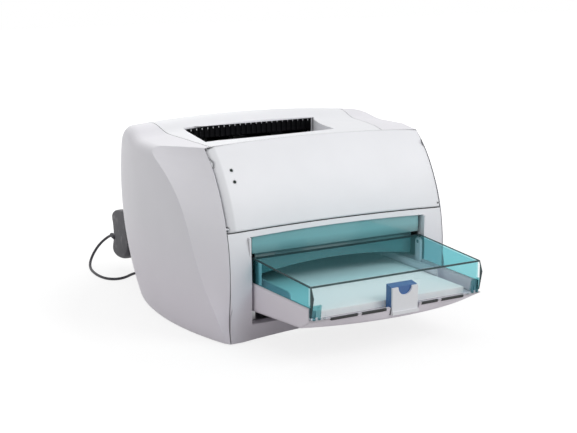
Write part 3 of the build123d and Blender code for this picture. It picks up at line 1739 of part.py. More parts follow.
fan_y, fan_z = 165.0, 180.0
fan_size = 60.0
fan_depth = 15.0
fan_bore = 27.5
fan_hub = 11.0
fan_shaft = 2.0
fan_x = -frame_outer_x - fan_depth
with BuildPart() as fan_frame:
    with BuildSketch(Plane.YZ.offset(fan_x)):
        with Locations((fan_y, fan_z)):
            RectangleRounded(fan_size, fan_size, 4.0)
            Circle(fan_bore, mode=Mode.SUBTRACT)
    extrude(amount=fan_depth)
    with BuildSketch(Plane.YZ.offset(-frame_outer_x)):
        with Locations((fan_y, fan_z)):
            Circle(fan_hub)
            Rectangle(fan_size - 2.0, 4.0)
            Rectangle(4.0, fan_size - 2.0)
    extrude(amount=-3.0)
    fan_bearing = rod(
        fan_shaft + running_gap,
        -frame_outer_x - 3.0,
        -frame_outer_x - 0.5,
        fan_y,
        fan_z,
    )
    add(fan_bearing, mode=Mode.SUBTRACT)
fan_frame.part.label = "fan_frame"
export_step(fan_frame.part, "parts/fan_frame.step")

blade_count = 7
with BuildPart() as fan_rotor:
    add(rod(fan_hub, fan_x + 1.0, -frame_outer_x - 3.4, fan_y, fan_z))
    add(rod(fan_shaft, fan_x + 1.0, -frame_outer_x - 1.0, fan_y, fan_z))
    for blade in range(blade_count):
        turn = 2 * pi * blade / blade_count
        out = (0.0, cos(turn), sin(turn))
        root = (fan_x + 6.0, fan_y + (fan_hub - 1.0) * out[1], fan_z + (fan_hub - 1.0) * out[2])
        with BuildSketch(Plane(origin=root, x_dir=(1, 0, 0), z_dir=out)):
            Rectangle(9.0, 1.4, rotation=40)
        extrude(amount=fan_bore - fan_hub - 0.2)
fan_rotor.part.label = "fan_rotor"
export_step(fan_rotor.part, "parts/fan_rotor.step")

# Cable: hood in the data port, run down to the table, coil behind the printer, far connector
cable_diameter = 4.0
hood_left = -145.0
hood_right = -128.0
hood_front = rear_y + fit_gap
hood_rear = 300.0
plug_half_width = 2.7
exit_point = (-144.0, hood_rear, 50.0)
coil_lift = 3.1
coil_start = (48.0, 296.0, coil_lift)
coil_radius = 28.0
coil_pitch = 4.5
inward_turns = 7
outward_turns = 6
tail_length = 40.0
with BuildPart() as connector_hood:
    with BuildSketch(Plane.YZ.offset(hood_left)):
        with BuildLine():
            Polyline(
                (hood_front, 48.0),
                (hood_front, 96.0),
                (262.0, 98.0),
                (290.0, 93.0),
                (hood_rear, 80.0),
                (hood_rear, 38.0),
                (290.0, 27.0),
                (262.0, 40.0),
                close=True,
            )
        make_face()
    extrude(amount=hood_right - hood_left)
    fillet(connector_hood.edges().filter_by(Axis.X).filter_by_position(Axis.Y, 250.0, 310.0), 5.0)
    outer_face = connector_hood.faces().sort_by(Axis.X)[0]
    fillet(outer_face.edges().filter_by_position(Axis.Y, 250.0, 310.0), 1.2)
    add(
        block(
            (port_x - plug_half_width, rear_y - 7.5, port_low + 4.3),
            (port_x + plug_half_width, rear_y + 1.0, port_high - 4.3),
        )
    )
connector_hood.part.label = "connector_hood"
export_step(connector_hood.part, "parts/connector_hood.step")

run_points = [
    exit_point,
    (-144.0, 315.0, 50.0),
    (-148.0, 328.0, 43.0),
    (-157.0, 336.0, 32.0),
    (-167.0, 336.0, 19.0),
    (-175.5, 329.0, 8.0),
    (-181.0, 314.0, 2.5),
    (-184.5, 292.0, 2.0),
    (-185.5, 268.0, 2.0),
    (-181.5, 247.0, 2.0),
    (-169.0, 236.0, 2.0),
    (-153.0, 240.0, 2.0),
    (-138.0, 253.0, 2.0),
    (-108.0, 264.0, 2.0),
    (-56.0, 262.0, 2.0),
    (-6.0, 265.0, 2.0),
    (24.0, 260.0, 2.2),
    (41.0, 266.5, 2.8),
    (48.0, 281.0, coil_lift),
    coil_start,
]


def corner_radii(points):
    # The bend radius at each inner point, from the shorter run beside it and the turn.
    radii = []
    for before, here, after in zip(points, points[1:], points[2:]):
        first = Vector(*here) - Vector(*before)
        second = Vector(*after) - Vector(*here)
        turn = radians(first.get_angle(second))
        radii.append(0.45 * min(first.length, second.length) / tan(turn / 2))
    return radii


run_radii = corner_radii(run_points)
with BuildPart() as cable_run:
    with BuildLine() as run_path:
        FilletPolyline(*run_points, radius=run_radii)
    with BuildSketch(Plane(origin=exit_point, z_dir=(0, 1, 0))):
        Circle(cable_diameter / 2)
    sweep(path=run_path.wire())
cable_run.part.label = "cable_run"
export_step(cable_run.part, "parts/cable_run.step")
run_length = run_path.wire().length
print("cable run", round(run_length), "mm, tightest bend", round(min(run_radii), 1), "mm")
cable_section = pi * cable_diameter**2 / 4
print("cable run volume over section times length", cable_run.part.volume / (cable_section * run_length))


def coil_stations():
    # The ends of each half turn, spiralling in on the table, climbing, then out on top.
    spots = []
    x, radius = coil_start[0], coil_radius
    for half_turn in range(inward_turns):
        side = -1 if half_turn % 2 == 0 else 1
        spots.append((x, x + side * 2 * radius, coil_lift, coil_lift))
        x += side * 2 * radius
        radius -= coil_pitch / 2
    spots.append((x, x + 2 * radius, coil_lift, coil_lift + coil_pitch))
    x += 2 * radius
    for half_turn in range(outward_turns):
        radius += coil_pitch / 2
        side = -1 if half_turn % 2 == 0 else 1
        spots.append((x, x + side * 2 * radius, coil_lift + coil_pitch, coil_lift + coil_pitch))
        x += side * 2 * radius
    return spots


coil_y = coil_start[1] + cable_diameter
stations = coil_stations()
with BuildPart() as cable_coil:
    with BuildLine() as coil_path:
        Line(coil_start, (coil_start[0], coil_y, coil_lift))
        for number, (first_x, last_x, first_z, last_z) in enumerate(stations):
            side = 1 if number % 2 == 0 else -1
            reach = hypot(last_x - first_x, last_z - first_z) / 2
            ThreePointArc(
                (first_x, coil_y, first_z),
                ((first_x + last_x) / 2, coil_y + side * reach, (first_z + last_z) / 2),
                (last_x, coil_y, last_z),
            )
        coil_end = (stations[-1][1], coil_y, stations[-1][3])
        Line(coil_end, (coil_end[0], coil_y + tail_length, coil_end[2]))
    with BuildSketch(Plane(origin=coil_start, z_dir=(0, 1, 0))):
        Circle(cable_diameter / 2)
    sweep(path=coil_path.wire())
cable_coil.part.label = "cable_coil"
export_step(cable_coil.part, "parts/cable_coil.step")
coil_wire = coil_path.wire()
coil_length = coil_wire.length
print("cable coil", round(coil_length), "mm")
print("cable coil volume over section times length", cable_coil.part.volume / (cable_section * coil_length))

# Least gap of the coil to itself, between points more than a quarter of the tightest loop apart
sample_step = 1.5
sample_count = int(coil_length / sample_step)
samples = [coil_wire @ (index / sample_count) for index in range(sample_count + 1)]
skip = int(5 * cable_diameter / sample_step)
least_gap = min(
    (samples[first] - samples[second]).length
    for first in range(len(samples))
    for second in range(first + skip, len(samples))
)
print("least gap in the coil", round(least_gap - cable_diameter, 3), "mm")

tie_thickness = 0.8
tie_width = 6.0
tie_left = coil_start[0] - 2 * coil_radius - cable_diameter / 2 - fit_gap
tie_right = stations[6][1] + cable_diameter / 2 + 3 * fit_gap
tie_top = coil_lift + coil_pitch + cable_diameter / 2 + fit_gap
with BuildPart() as coil_tie:
    with BuildSketch(Plane.XZ.offset(-coil_y - tie_width / 2)):
        with Locations(((tie_left + tie_right) / 2, (tie_top + tie_thickness) / 2)):
            RectangleRounded(
                tie_right - tie_left + 2 * tie_thickness,
                tie_top + tie_thickness,
                1.5,
            )
            RectangleRounded(tie_right - tie_left, tie_top - tie_thickness, 0.7, mode=Mode.SUBTRACT)
    extrude(amount=tie_width)
coil_tie.part.label = "coil_tie"
export_step(coil_tie.part, "parts/coil_tie.step")

far_width = 54.0
far_height = 16.0
far_length = 45.0
far_front = coil_y + tail_length
with BuildPart() as far_connector:
    with BuildSketch(Plane.XY):
        with BuildLine():
            Polyline(
                (coil_end[0] - 10.0, far_front),
                (coil_end[0] - far_width / 2, far_front + 14.0),
                (coil_end[0] - far_width / 2, far_front + far_length),
                (coil_end[0] + far_width / 2, far_front + far_length),
                (coil_end[0] + far_width / 2, far_front + 14.0),
                (coil_end[0] + 10.0, far_front),
                close=True,
            )
        make_face()
    extrude(amount=far_height)
    fillet(far_connector.edges().filter_by(Axis.Z), 2.0)
    with BuildSketch(Plane.XZ.offset(-far_front - far_length)):
        with Locations((coil_end[0], far_height / 2)):
            RectangleRounded(38.0, 8.0, 3.0)
            RectangleRounded(36.4, 6.4, 2.2, mode=Mode.SUBTRACT)
    extrude(amount=-6.0)
far_connector.part.label = "far_connector"
export_step(far_connector.part, "parts/far_connector.step")
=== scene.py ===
import json
import math

import bmesh
import bpy
import numpy as np
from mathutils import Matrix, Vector


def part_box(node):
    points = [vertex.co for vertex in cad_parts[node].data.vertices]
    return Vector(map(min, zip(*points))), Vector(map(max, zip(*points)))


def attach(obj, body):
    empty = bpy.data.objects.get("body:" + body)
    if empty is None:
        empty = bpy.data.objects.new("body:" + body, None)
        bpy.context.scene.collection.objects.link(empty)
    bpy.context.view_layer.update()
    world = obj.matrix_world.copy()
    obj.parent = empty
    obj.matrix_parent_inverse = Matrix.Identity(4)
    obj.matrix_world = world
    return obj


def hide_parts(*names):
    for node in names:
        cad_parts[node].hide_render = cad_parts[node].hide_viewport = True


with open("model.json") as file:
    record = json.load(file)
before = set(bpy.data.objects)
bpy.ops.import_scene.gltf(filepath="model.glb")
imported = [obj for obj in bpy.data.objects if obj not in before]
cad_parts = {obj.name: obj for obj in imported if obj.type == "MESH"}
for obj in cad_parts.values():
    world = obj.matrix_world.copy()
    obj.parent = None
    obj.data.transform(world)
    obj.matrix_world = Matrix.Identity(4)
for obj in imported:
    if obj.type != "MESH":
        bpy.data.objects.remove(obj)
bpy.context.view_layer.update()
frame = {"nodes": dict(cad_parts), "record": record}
nodes = frame["nodes"]
bodyOf = {
    node: body
    for body, members in frame["record"]["behaviour"]["bodies"].items()
    for node in members
}
slotOf = {row["node"]: row["material_slot"] for row in frame["record"]["subparts"]}


class Signal:
    # one output socket, with the sums that the finishes use
    def __init__(self, finish, socket):
        self.finish = finish
        self.socket = socket

    def maths(self, operation, first, second=0.0, clamp=False):
        return self.finish.add(
            "ShaderNodeMath", {"operation": operation, "use_clamp": clamp}, {0: first, 1: second}
        )

    def __add__(self, other):
        return self.maths("ADD", self, other)

    __radd__ = __add__

    def __mul__(self, other):
        return self.maths("MULTIPLY", self, other)

    __rmul__ = __mul__

    def __sub__(self, other):
        return self.maths("SUBTRACT", self, other)

    def __rsub__(self, other):
        return self.maths("SUBTRACT", other, self)

    def __truediv__(self, other):
        return self.maths("DIVIDE", self, other)

    def above(self, limit, softness):
        # 0 below the limit, 1 above it, with a soft step between
        return self.maths("ADD", (self - limit) / softness, 0.5, clamp=True)

    def largest(self, other):
        return self.maths("MAXIMUM", self, other)

    def power(self, exponent):
        return self.maths("POWER", self, exponent)

    def size(self):
        return self.maths("ABSOLUTE", self)


class Finish:
    # one procedural material, or the world
    def __init__(self, name, world=False):
        self.material = (bpy.data.worlds if world else bpy.data.materials).new(name)
        self.material.use_nodes = True
        self.tree = self.material.node_tree
        self.tree.nodes.clear()
        self.output = self.tree.nodes.new("ShaderNodeOutput" + ("World" if world else "Material"))

    def add(self, kind, settings=None, sockets=None, out=0):
        # settings are the node's own choices; sockets take values or the outputs of other nodes
        node = self.tree.nodes.new(kind)
        for key, value in (settings or {}).items():
            setattr(node, key, value)
        for key, value in (sockets or {}).items():
            if isinstance(value, Signal):
                self.tree.links.new(value.socket, node.inputs[key])
            else:
                node.inputs[key].default_value = value
        return Signal(self, node.outputs[out])

    def place(self):
        # the point's own coordinates on its object
        return self.add("ShaderNodeTexCoord", out=3)

    def axes(self, vector=None):
        split = self.add("ShaderNodeSeparateXYZ", sockets={0: vector or self.place()})
        return [Signal(self, socket) for socket in split.socket.node.outputs]

    def noise(self, scale, detail, stretch=None):
        where = self.place()
        if stretch:
            where = self.add("ShaderNodeMapping", sockets={"Vector": where, "Scale": stretch})
        return self.add(
            "ShaderNodeTexNoise", sockets={"Vector": where, "Scale": scale, "Detail": detail}
        )

    def mix(self, factor, first, second):
        # of two colours, where 0 gives the first
        a, b = (c if isinstance(c, Signal) else (*c, 1.0) for c in (first, second))
        return self.add("ShaderNodeMix", {"data_type": "RGBA"}, {0: factor, 6: a, 7: b}, out=2)

    def bump(self, height, depth, under=None):
        sockets = {"Height": height, "Distance": depth}
        if under:
            sockets["Normal"] = under
        return self.add("ShaderNodeBump", sockets=sockets)

    def shade(self, colour, roughness, normal, **more):
        sockets = {"Base Color": colour, "Roughness": roughness, "Normal": normal}
        sockets.update({key.replace("_", " "): value for key, value in more.items()})
        return self.add("ShaderNodeBsdfPrincipled", sockets=sockets)

    def clear(self, tint):
        return self.add("ShaderNodeBsdfTransparent", sockets={"Color": (*tint, 1.0)})

    def blend(self, factor, first, second):
        return self.add("ShaderNodeMixShader", sockets={0: factor, 1: first, 2: second})

    def close(self, shader):
        self.tree.links.new(shader.socket, self.output.inputs["Surface"])
        return self.material


def scaled(colour, share):
    return tuple(min(1.0, c * share) for c in colour)


mouldedPlastic = {
    "grainScale": 1500.0,  # the fine spark-eroded skin of a moulding
    "grainDetail": 2.0,
    "grainDepth": 0.00004,
    "roughVariation": 0.12,
    "patchScale": 14.0,  # slow drift of tone
    "patchDetail": 3.0,
    "fallHeight": 0.1135,  # below this height the panel behind the lid is painted darker, a painted shade
    "fallFade": 0.016,
    "fallShare": 0.42,
    "fadeEdge": 0.142,  # the opening's left edge, where the shade on the panel is half as dark
    "fadeReach": 0.022,
    "fadeBase": 0.4,  # the share of the shade that also lies away from that edge
    "fadeHeight": 0.062,
    "fadeFall": 0.13,
    "fadeSides": 0.1,  # it dies out over this width round the middle
    "fadeTone": 0.35,
    "bandPlace": 0.1475,  # the painted shade of the door's rolled left edge starts here
    "bandFade": 0.003,
    "bandTone": 0.8,
    "castHeight": 0.09,  # painted light: a faint rosy tint low down
    "castFade": 0.10,
    "castShare": 0.5,
    "castTone": (0.86, 0.79, 0.88),
    "dustTilt": 0.7,  # faces that look up more than this catch dust
    "dustScale": 60.0,
    "dustDetail": 4.0,
    "dustLimit": 0.5,
    "dustSoftness": 0.5,
    "dustGrey": 0.55,
    "dustColour": 0.25,  # how much of the plastic's own colour shows through
    # painted shade, with some dirt: an occlusion test paints seams and tight corners dark
    "seamDepth": 0.0035,
    "seamShade": 0.45,
    "seamSoftness": 0.3,
    "seamTone": (0.03, 0.03, 0.035),
    "seamSamples": 6,
}


def plasticFinish(
    name,
    colour,
    roughness=0.45,
    grain=1.0,
    drift=0.03,
    dust=0.0,
    coat=0.0,
    gloss=0.5,
    seams=0.0,
    edge=0.0012,
    fall=False,
    rolledEdgeShade=0.0,
    fade=0.0,
):
    look = mouldedPlastic
    finish = Finish(name)
    patches = finish.noise(look["patchScale"], look["patchDetail"])
    grainNoise = finish.noise(look["grainScale"], look["grainDetail"])
    tone = finish.mix(patches, scaled(colour, 1 - drift * 2), scaled(colour, 1 + drift))
    if fall:
        # painted shade: the clear panel is painted darker downwards, where less light comes through
        # it
        low = 1.0 - finish.axes()[2].above(look["fallHeight"], look["fallFade"])
        tone = finish.mix(low, tone, scaled(colour, look["fallShare"]))
    if fade:
        # towards the opening's lower left the panel is in the tray's shade
        x, _, z = finish.axes()
        near = (x + look["fadeEdge"]).above(0.0, look["fadeReach"])
        near = near * (1.0 - look["fadeBase"]) + look["fadeBase"]
        low = 1.0 - z.above(look["fadeHeight"], look["fadeFall"])
        shade = near * low * (1.0 - x.above(0.0, look["fadeSides"])) * fade
        tone = finish.mix(shade, tone, scaled(colour, look["fadeTone"]))
    if rolledEdgeShade:
        # painted shade: the rolled left edge is painted a little greyer, where it turns from the
        # light
        left = (0.0 - finish.axes()[0]).above(look["bandPlace"], look["bandFade"])
        tone = finish.mix(left * rolledEdgeShade, tone, scaled(colour, look["bandTone"]))
    if seams:
        # painted light: low down the plastic is painted with a faint rosy tint of the light that
        # reaches it there
        low = 1.0 - finish.axes()[2].above(look["castHeight"], look["castFade"])
        tone = finish.mix(low * look["castShare"], tone, look["castTone"])
    if dust:
        # grey dust settles on faces that look up, thicker in some patches
        normal = finish.add("ShaderNodeNewGeometry", out=1)
        upward = finish.axes(normal)[2].above(look["dustTilt"], look["dustSoftness"])
        clouds = finish.noise(look["dustScale"], look["dustDetail"])
        layer = upward * clouds.above(look["dustLimit"], look["dustSoftness"]) * dust
        grey = tuple(look["dustGrey"] + look["dustColour"] * c for c in colour)
        tone = finish.mix(layer, tone, grey)
    rounded = None
    if seams:
        # painted shade, with some dirt: seams and tight corners, found by occlusion, are painted
        # dark inside, and their edges are a little rounded
        samples = {"samples": look["seamSamples"]}
        hidden = 1.0 - finish.add(
            "ShaderNodeAmbientOcclusion", samples, {"Distance": look["seamDepth"]}, out=1
        )
        shadow = hidden.above(look["seamShade"], look["seamSoftness"]) * seams
        tone = finish.mix(shadow, tone, look["seamTone"])
        rounded = finish.add("ShaderNodeBevel", samples, {"Radius": edge})
    rough = (grainNoise - 0.5) * look["roughVariation"] + roughness
    normal = finish.bump(grainNoise, look["grainDepth"] * grain, under=rounded)
    return finish.close(
        finish.shade(tone, rough, normal, Coat_Weight=coat, Specular_IOR_Level=gloss)
    )


rolledMetal = {
    "streakScale": 420.0,
    "streakDepth": 0.00002,
    "patchScale": 30.0,
    "detail": 3.0,
    "patchTone": 0.82,
    "roughVariation": 0.25,
}


def metalFinish(name, colour, roughness, stretch=(1.0, 1.0, 1.0)):
    look = rolledMetal
    finish = Finish(name)
    streaks = finish.noise(look["streakScale"], look["detail"], stretch)
    patches = finish.noise(look["patchScale"], look["detail"])
    tone = finish.mix(patches, scaled(colour, look["patchTone"]), colour)
    rough = (streaks - 0.5) * look["roughVariation"] + roughness
    normal = finish.bump(streaks, look["streakDepth"])
    return finish.close(finish.shade(tone, rough, normal, Metallic=1.0))


softRubber = {
    "poreScale": 900.0,
    "poreDetail": 4.0,
    "poreDepth": 0.00006,
    "scuffScale": 80.0,
    "scuffDetail": 5.0,
    "scuffLimit": 0.62,
    "scuffSoftness": 0.15,
    "scuffShare": 0.35,
    "scuffTone": 1.9,
    "scuffGrey": 0.02,
    "scuffPolish": 0.12,  # scuffed places are smoother by this much
}


def rubberFinish(name, colour, roughness=0.75):
    look = softRubber
    finish = Finish(name)
    pores = finish.noise(look["poreScale"], look["poreDetail"])
    scuffs = finish.noise(look["scuffScale"], look["scuffDetail"])
    scuffs = scuffs.above(look["scuffLimit"], look["scuffSoftness"])
    worn = tuple(min(1.0, c * look["scuffTone"] + look["scuffGrey"]) for c in colour)
    tone = finish.mix(scuffs * look["scuffShare"], colour, worn)
    normal = finish.bump(pores, look["poreDepth"])
    return finish.close(finish.shade(tone, roughness - scuffs * look["scuffPolish"], normal))


sheetPaper = {
    "white": (0.96, 0.96, 0.965),
    "roughness": 0.8,
    "layerScale": (4.0, 4.0, 9000.0),  # level lines a tenth of a millimetre apart
    "layerLimit": 0.55,
    "layerSoftness": 0.3,
    "layerShare": 0.5,
    "layerTone": (0.70, 0.70, 0.72),
    "sideTilt": 0.5,  # faces that lean more than this show the edges of the sheets
    "sideSoftness": 0.2,
    "fibreScale": 700.0,
    "fibreDetail": 4.0,
    "fibreDepth": 0.00002,
}


def paperFinish(name):
    look = sheetPaper
    finish = Finish(name)
    layers = finish.noise(1.0, 2.0, look["layerScale"])
    fibres = finish.noise(look["fibreScale"], look["fibreDetail"])
    normal = finish.add("ShaderNodeNewGeometry", out=1)
    side = 1.0 - finish.axes(normal)[2].above(look["sideTilt"], look["sideSoftness"])
    lines = layers.above(look["layerLimit"], look["layerSoftness"]) * side
    tone = finish.mix(lines * look["layerShare"], look["white"], look["layerTone"])
    normal = finish.bump(fibres, look["fibreDepth"])
    return finish.close(finish.shade(tone, look["roughness"], normal))


clearLid = {
    "roofTint": (0.81, 0.935, 0.95),  # each surface of the sloping roof
    # painted shade: the side walls pass less light, a darker tint that stands in for the shaded
    # inside seen through them
    "sideTint": (0.44, 0.76, 0.79),
    "frontTint": (0.99, 0.998, 0.999),
    "footTint": (0.52, 0.74, 0.76),  # the ridged feet at the front corners
    "foot": (0.1085, 0.078),  # beyond this x, below this z
    "frontFace": -0.2347,  # the nearly clear front plate lies before this
    "frontSoftness": 0.0005,
    "sideDepth": 0.0022,  # the side walls lie within this of the side planes
    "density": 0.02,
    "streakScale": 9.0,
    "streakDetail": 3.0,
    "streakShare": 0.04,
    "streakDepth": 0.0003,
    "shadowWhite": 0.65,
    "sheen": 0.35,
    "sheenFall": 5.0,
    "roughness": 0.07,
    "body": (0.16, 0.46, 0.50),
    "lineTone": (0.004, 0.022, 0.026),  # the sight through the thickness at every fold
    "lineWidth": 0.0017,
    "lineRoughness": 0.6,
    "lineShare": 0.95,
    "fold": (-0.238, 0.100),  # y and z of the fold between roof and front
    "rear": -0.107,
    "roofSlope": 0.0458,
    "halfWidth": 0.1225,  # at the fold
    "widening": 0.0305,
}


def clearFinish(name):
    look = clearLid
    finish = Finish(name)
    x, y, z = finish.axes()
    foldY, foldZ = look["fold"]
    soft = look["lineWidth"] / 4
    streaks = finish.noise(look["streakScale"], look["streakDetail"])
    front = 1.0 - y.above(look["frontFace"], look["frontSoftness"])
    fromSide = (y - foldY) * look["widening"] + look["halfWidth"] - x.size()
    fromRoof = (y - foldY) * look["roofSlope"] + foldZ - z
    side = 1.0 - fromSide.above(look["sideDepth"], soft)
    onSide = 1.0 - fromSide.above(look["lineWidth"], soft)
    onRoof = 1.0 - fromRoof.above(look["lineWidth"], soft)
    onFold = 1.0 - (y - foldY).size().above(look["lineWidth"], soft)
    onFront = 1.0 - y.above(foldY, soft)
    line = (onSide * onRoof).largest(onFold * onRoof).largest(onSide * onFront)
    line = line.largest(y.above(look["rear"] - look["lineWidth"], soft))
    footX, footZ = look["foot"]
    foot = front * x.size().above(footX, soft) * (1.0 - z.above(footZ, soft))
    # light that comes through from the lamps keeps more of its white
    shadowRay = finish.add("ShaderNodeLightPath", out=1) * look["shadowWhite"]
    through = finish.clear(look["roofTint"])
    # painted shade: the side walls take the darker tint of the shaded inside behind them
    through = finish.blend(side, through, finish.clear(look["sideTint"]))
    through = finish.blend(front, through, finish.clear(look["frontTint"]))
    through = finish.blend(foot, through, finish.clear(look["footTint"]))
    through = finish.blend(shadowRay, through, finish.clear((1.0, 1.0, 1.0)))
    facing = finish.add("ShaderNodeLayerWeight", sockets={"Blend": 0.5}, out=1)
    edge = facing.power(look["sheenFall"])
    body = finish.mix(line, look["body"], look["lineTone"])
    rough = line * look["lineRoughness"] + look["roughness"]
    skin = finish.shade(body, rough, finish.bump(streaks, look["streakDepth"]))
    amount = (streaks - 0.5) * look["streakShare"] + look["density"] + edge * look["sheen"]
    return finish.close(finish.blend(amount.largest(line * look["lineShare"]), through, skin))


circuitBoard = {
    "trackScale": 120.0,
    "trackWidth": 0.03,
    "trackDepth": 0.00005,
    "greens": ((0.02, 0.20, 0.08), (0.03, 0.26, 0.11)),
    "trackTone": (0.10, 0.42, 0.20),
    "padScale": 300.0,
    "padSize": 0.18,
    "padSoftness": 0.05,
    "padShare": 0.7,
    "padTone": (0.62, 0.60, 0.50),
    "roughness": 0.35,
    "lacquer": 0.4,
}


def boardFinish(name):
    look = circuitBoard
    finish = Finish(name)
    where = finish.place()
    upright = finish.add(
        "ShaderNodeMapping", sockets={"Vector": where, "Rotation": (0.0, math.pi / 2, 0.0)}
    )
    tracks = finish.add(
        "ShaderNodeTexBrick",
        sockets={
            "Vector": upright,
            "Scale": look["trackScale"],
            "Mortar Size": look["trackWidth"],
            "Color1": (*look["greens"][0], 1.0),
            "Color2": (*look["greens"][1], 1.0),
            "Mortar": (*look["trackTone"], 1.0),
        },
    )
    dots = finish.add("ShaderNodeTexVoronoi", sockets={"Vector": where, "Scale": look["padScale"]})
    pads = 1.0 - dots.above(look["padSize"], look["padSoftness"])
    tone = finish.mix(pads * look["padShare"], tracks, look["padTone"])
    normal = finish.bump(tracks, look["trackDepth"])
    return finish.close(
        finish.shade(tone, look["roughness"], normal, Coat_Weight=look["lacquer"])
    )


casingTone = (0.86, 0.867, 0.90)
finishes = {
    "casing": plasticFinish("casing", casingTone, 0.42, dust=0.06, seams=0.9),
    # painted shade: the side covers are the same plastic as the casing, painted a little darker and
    # rosier, as the sides get less light
    "casing_side": plasticFinish("casingSide", (0.83, 0.82, 0.865), 0.46, dust=0.06, seams=0.9),
    "teal_clear": clearFinish("tealClear"),
    # painted shade: fall paints the slot panel darker towards its bottom
    "teal": plasticFinish("teal", (0.20, 0.46, 0.49), 0.18, 0.3, coat=0.6, fall=True),
    "tray_grey": plasticFinish(
        "trayGrey", (0.80, 0.765, 0.81), 0.5, dust=0.08, seams=0.6, edge=0.006
    ),
    "guide_white": plasticFinish("guideWhite", (0.80, 0.81, 0.84), 0.5),
    "guide_blue": plasticFinish("guideBlue", (0.055, 0.145, 0.36), 0.38),
    "black_plastic": plasticFinish("blackPlastic", (0.012, 0.012, 0.014), 0.42),
    "dark_plastic": plasticFinish("darkPlastic", (0.05, 0.05, 0.055), 0.5),
    "cable_grey": rubberFinish("cableGrey", (0.033, 0.031, 0.040), 0.52),
    "paper": paperFinish("paper"),
    "steel": metalFinish("steel", (0.60, 0.61, 0.63), 0.28),
    "zinc": metalFinish("zinc", (0.60, 0.61, 0.62), 0.42, (1.0, 1.0, 0.15)),
    "rubber": rubberFinish("rubber", (0.03, 0.03, 0.032)),
    "gear_plastic": plasticFinish("gearPlastic", (0.78, 0.76, 0.68), 0.4),
    "drum_green": plasticFinish("drumGreen", (0.02, 0.25, 0.22), 0.18, 0.2, coat=1.0),
    "board_green": boardFinish("boardGreen"),
    "mirror": metalFinish("mirrorFinish", (0.85, 0.88, 0.90), 0.06),
    "light_green": plasticFinish("lightGreen", (0.012, 0.022, 0.017), 0.5, gloss=0.15),
}
ownFinish = {
    # painted shade: the exit guide's black plastic is painted darker still for the shade deep in
    # the exit slot, and has little gloss
    "exit_guide": plasticFinish("exitGuideBlack", (0.003, 0.003, 0.004), 0.65, gloss=0.08),
    # painted shade: the door's rolled left edge is painted greyer
    "cartridge_door": plasticFinish(
        "doorCasing", casingTone, 0.42, dust=0.06, seams=0.9, edge=0.0035, rolledEdgeShade=0.6
    ),
    "front_panel": plasticFinish(
        "panelCasing", casingTone, 0.42, dust=0.06, seams=0.9, fade=0.85
    ),
    "left_width_guide": finishes["tray_grey"],
    "right_width_guide": finishes["tray_grey"],
}
for nodeName, node in nodes.items():
    node.data.materials.clear()
    node.data.materials.append(ownFinish.get(nodeName, finishes[slotOf[nodeName]]))
print("finishes", len(finishes))


def register(piece, body, slotName, *replaced):
    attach(piece, body)
    if replaced:
        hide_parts(*replaced)
    return piece


def makePiece(name, points, faces, slotName, smooth=True):
    mesh = bpy.data.meshes.new(name)
    mesh.from_pydata([tuple(p) for p in points.tolist()], [], [tuple(f) for f in faces])
    mesh.materials.append(finishes[slotName])
    mesh.polygons.foreach_set("use_smooth", np.full(len(mesh.polygons), smooth))
    piece = bpy.data.objects.new(name, mesh)
    bpy.context.scene.collection.objects.link(piece)
    return piece


def ringFaces(rows, columns):
    # quads between neighbouring stations of a grid whose rows are closed rings
    a, b = np.meshgrid(np.arange(rows - 1) * columns, np.arange(columns), indexing="ij")
    nextB = (b + 1) % columns
    quads = np.stack([a + b, a + columns + b, a + columns + nextB, a + nextB], -1)
    return quads.reshape(-1, 4)


def ringLid(row, columns):
    return list(range(row * columns, (row + 1) * columns))


rolledEdge = {
    "edge": 0.1593,  # half the width of the door
    "width": 0.0130,
    "leftDepth": 0.0023,
    "rightDepth": 0.0005,
    "bend": 1.25,
    "cuts": 7,
    "middleZ": 0.13,  # the outer skin faces away from this height on the y = 0 plane
    "mostSideways": 0.7,
    "leastOutward": 0.5,
}


def rollEdges(work):
    # the door's outer skin turns in towards its left and right edges: at share t of the
    # rolled width a point moves inwards by depth * t^bend
    look = rolledEdge
    start = look["edge"] - look["width"]
    for cut in np.linspace(0.0, 1.0, look["cuts"], endpoint=False):
        for side in (-1, 1):
            bmesh.ops.bisect_plane(
                work,
                geom=work.verts[:] + work.edges[:] + work.faces[:],
                plane_co=(side * (start + cut * look["width"]), 0, 0),
                plane_no=(side, 0, 0),
            )
    work.normal_update()
    for vert in work.verts:
        share = (abs(vert.co.x) - start) / look["width"]
        if share <= 0:
            continue
        outward = Vector((0, 0, 0))
        for face in vert.link_faces:
            centre = face.calc_center_median()
            away = Vector((0, centre.y, centre.z - look["middleZ"]))
            facing = face.normal.dot(away) > look["leastOutward"] * away.length
            if abs(face.normal.x) < look["mostSideways"] and facing:
                outward += face.normal * face.calc_area()
        if outward.length > 0:
            outward.x = 0
            depth = look["leftDepth"] if vert.co.x < 0 else look["rightDepth"]
            vert.co -= outward.normalized() * depth * min(share, 1) ** look["bend"]


smoothShell = {"weld": 0.00002, "crease": 28.0, "weight": 80}


